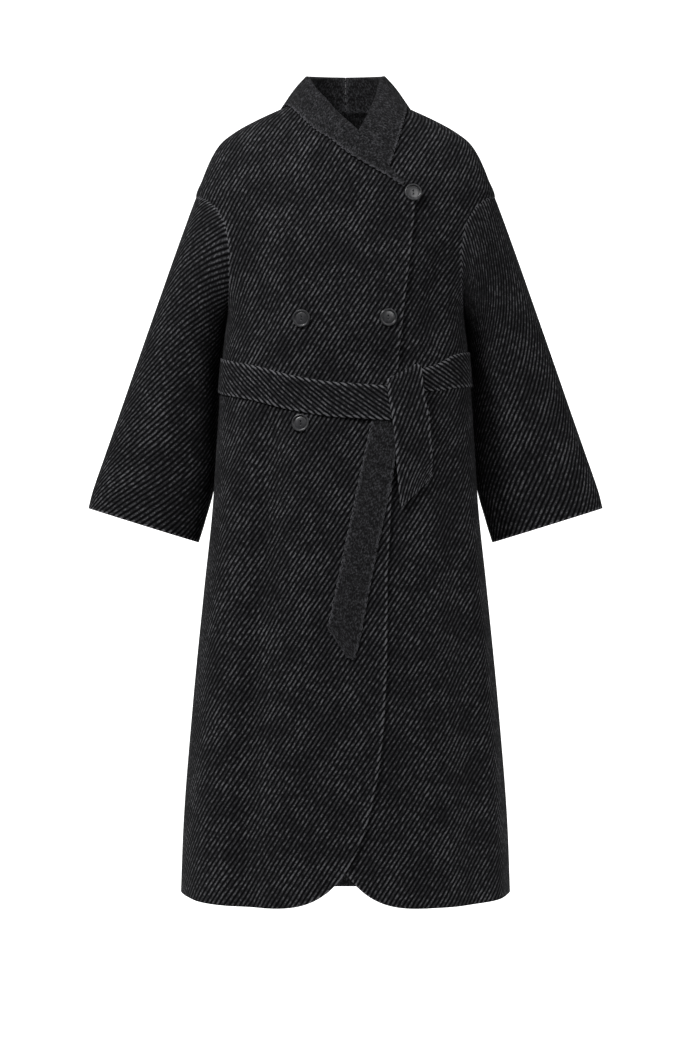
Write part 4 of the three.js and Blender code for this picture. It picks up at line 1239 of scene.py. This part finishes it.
@dataclass
class Studio:
    """A white paper sweep, soft lights and the camera at the photograph's place, in metres."""

    floor: float = -1.42
    centre: tuple[float, float] = (0.00675, -0.627)  # x and z that the camera looks at
    distance: float = 4.85
    lens: float = 110.9  # mm
    aim: tuple[float, float, float] = (0, 0, -0.6)  # where the lights look

    def camera(self) -> None:
        """A level camera straight in front, its long side fitted to the picture's height."""
        data = bpy.data.cameras.new("camera")
        data.lens, data.sensor_width, data.sensor_fit = self.lens, 36.0, "AUTO"
        data.clip_end = 60
        camera = bpy.data.objects.new("camera", data)
        camera.location = (self.centre[0], -self.distance, self.centre[1])
        camera.rotation_euler = (np.pi / 2, 0, 0)
        bpy.context.scene.collection.objects.link(camera)
        bpy.context.scene.camera = camera

    def paper(self, finish: StudioPaper) -> None:
        """The sweep: a floor, a quarter circle and a wall, carried sideways."""
        turn = np.linspace(0, np.pi / 2, 24)
        y = np.concatenate([[-0.3], 9.5 + 1.5 * np.sin(turn), [11]])
        z = np.concatenate([[0.0], 1.5 - 1.5 * np.cos(turn), [7.0]]) + self.floor
        x = np.linspace(-2.3, 2.3, 3)
        grid = np.stack(np.broadcast_arrays(x[:, None], y, z), -1)
        quads = grid_quads(len(x), len(y))
        mesh = bpy.data.meshes.new("paper")
        mesh.from_pydata(grid.reshape(-1, 3).tolist(), [], quads.tolist())
        mesh.polygons.foreach_set("use_smooth", np.ones(len(quads), bool))
        mesh.materials.append(finish.make())
        sweep = bpy.data.objects.new("studio_paper", mesh)
        bpy.context.scene.collection.objects.link(sweep)

    def light(self, name: str, at: tuple[float, float, float], size: float, power: float) -> None:
        """A square soft box that looks at the middle of the coat."""
        data = bpy.data.lights.new(name, "AREA")
        data.size, data.energy = size, power
        lamp = bpy.data.objects.new(name, data)
        lamp.location = at
        aim = np.array(self.aim) - np.array(at)
        flat = float(np.hypot(aim[0], aim[1]))
        lamp.rotation_euler = (np.arctan2(flat, -aim[2]), 0, np.arctan2(aim[1], aim[0]) - np.pi / 2)
        bpy.context.scene.collection.objects.link(lamp)

    def build(self) -> None:
        """Sets up the camera, paper, lights, world and view."""
        self.camera()
        self.paper(StudioPaper())
        self.light("key", at=(-1.85, -2.25, 2.0), size=0.7, power=140)
        self.light("fill", at=(2.4, -3.4, 1.0), size=2.0, power=66)
        world = bpy.data.worlds.new("studio")
        world.use_nodes = True
        # bright overhead, dim underfoot
        way = add_node(world.node_tree, "ShaderNodeTexCoord").outputs["Generated"]
        height = add_node(world.node_tree, "ShaderNodeSeparateXYZ", i0=way).outputs["Z"]
        glow = stretch(world.node_tree, height, -0.5, 0.9, 0.03, 0.55)
        background = world.node_tree.nodes["Background"]
        background.inputs[0].default_value = (1, 1, 1, 1)
        world.node_tree.links.new(glow, background.inputs[1])
        scene = bpy.context.scene
        scene.world = world
        scene.view_settings.view_transform = "Standard"


# ---- The whole coat


@dataclass
class Coat:
    """All pieces of the coat, each standing for its CAD node."""

    twill: bpy.types.Material
    reverse: bpy.types.Material
    horn: bpy.types.Material

    def cloth(self, shell: Shell, reversed_face: bool, held: str, rests_on: list[str]) -> bpy.types.Object:
        """Builds a piece of cloth, places it in the frame and works out the size of its flat cut.

        Args:
            shell: the piece's shape.
            reversed_face: True if the felted side is the one that shows.
            held: how the cloth is held; not used.
            rests_on: the nodes that it lies on or hangs from; not used.

        Returns:
            The finished piece.
        """
        face, back = (self.reverse, self.twill) if reversed_face else (self.twill, self.reverse)
        piece = shell.build([face, self.twill, back])
        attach(piece, "root")
        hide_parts(shell.name)
        size = np.ptp(shell.grain.reshape(-1, 2), axis=0) * MM
        if shell.wraps:
            size[0] = abs(shell.wrap_grain) * MM
        return piece

    def build(self) -> None:
        """Builds every piece in the order of dressing: body, sleeves, collar, belt, buttons."""
        right_collar = Collar(Side.RIGHT, RIGHT_COLLAR_FRONT)
        left_collar = Collar(Side.LEFT, LEFT_COLLAR_FRONT)
        self.cloth(Back(right_collar).shell(), False, "hung", [])
        self.cloth(Front(Side.RIGHT, right_collar).shell(), False, "hung", ["back"])
        self.cloth(Front(Side.LEFT, left_collar).shell(), False, "hung", ["back"])
        for side in Side:
            self.cloth(Sleeve(side).shell(), False, "hung", ["back"])
        self.cloth(right_collar.shell(), True, "folded", ["front_right"])
        self.cloth(left_collar.shell(), True, "folded", ["front_left"])
        belt = Belt()
        self.cloth(belt.band(), False, "stretched", ["front_right"])
        self.cloth(belt.tail("belt_upper_tail", belt.upper_tail, 0.6), False, "hung", ["belt_waist"])
        self.cloth(belt.tail("belt_under_tail", belt.under_tail, 0.4), True, "hung", ["belt_waist"])
        for name, x, z in (
            ("button_top", 97.8, -141), ("button_middle_left", 62, -323.5),
            ("button_middle_right", -63.5, -325), ("button_lower_right", -65, -478),
        ):
            piece = Button(name, x, z).build(self.horn, lift=0.4)
            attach(piece, "root")
            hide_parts(name)
            LOG.info("%s: %d faces", name, len(piece.data.polygons))


def main() -> None:
    """Loads the frame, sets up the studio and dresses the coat."""
    logging.basicConfig(level=logging.INFO, format="%(name)s: %(message)s")
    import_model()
    Studio().build()
    Coat(TwillFace().make(), FeltedReverse().make(), PolishedHorn().make()).build()
    bpy.context.view_layer.update()


if __name__ == "__main__":
    main()
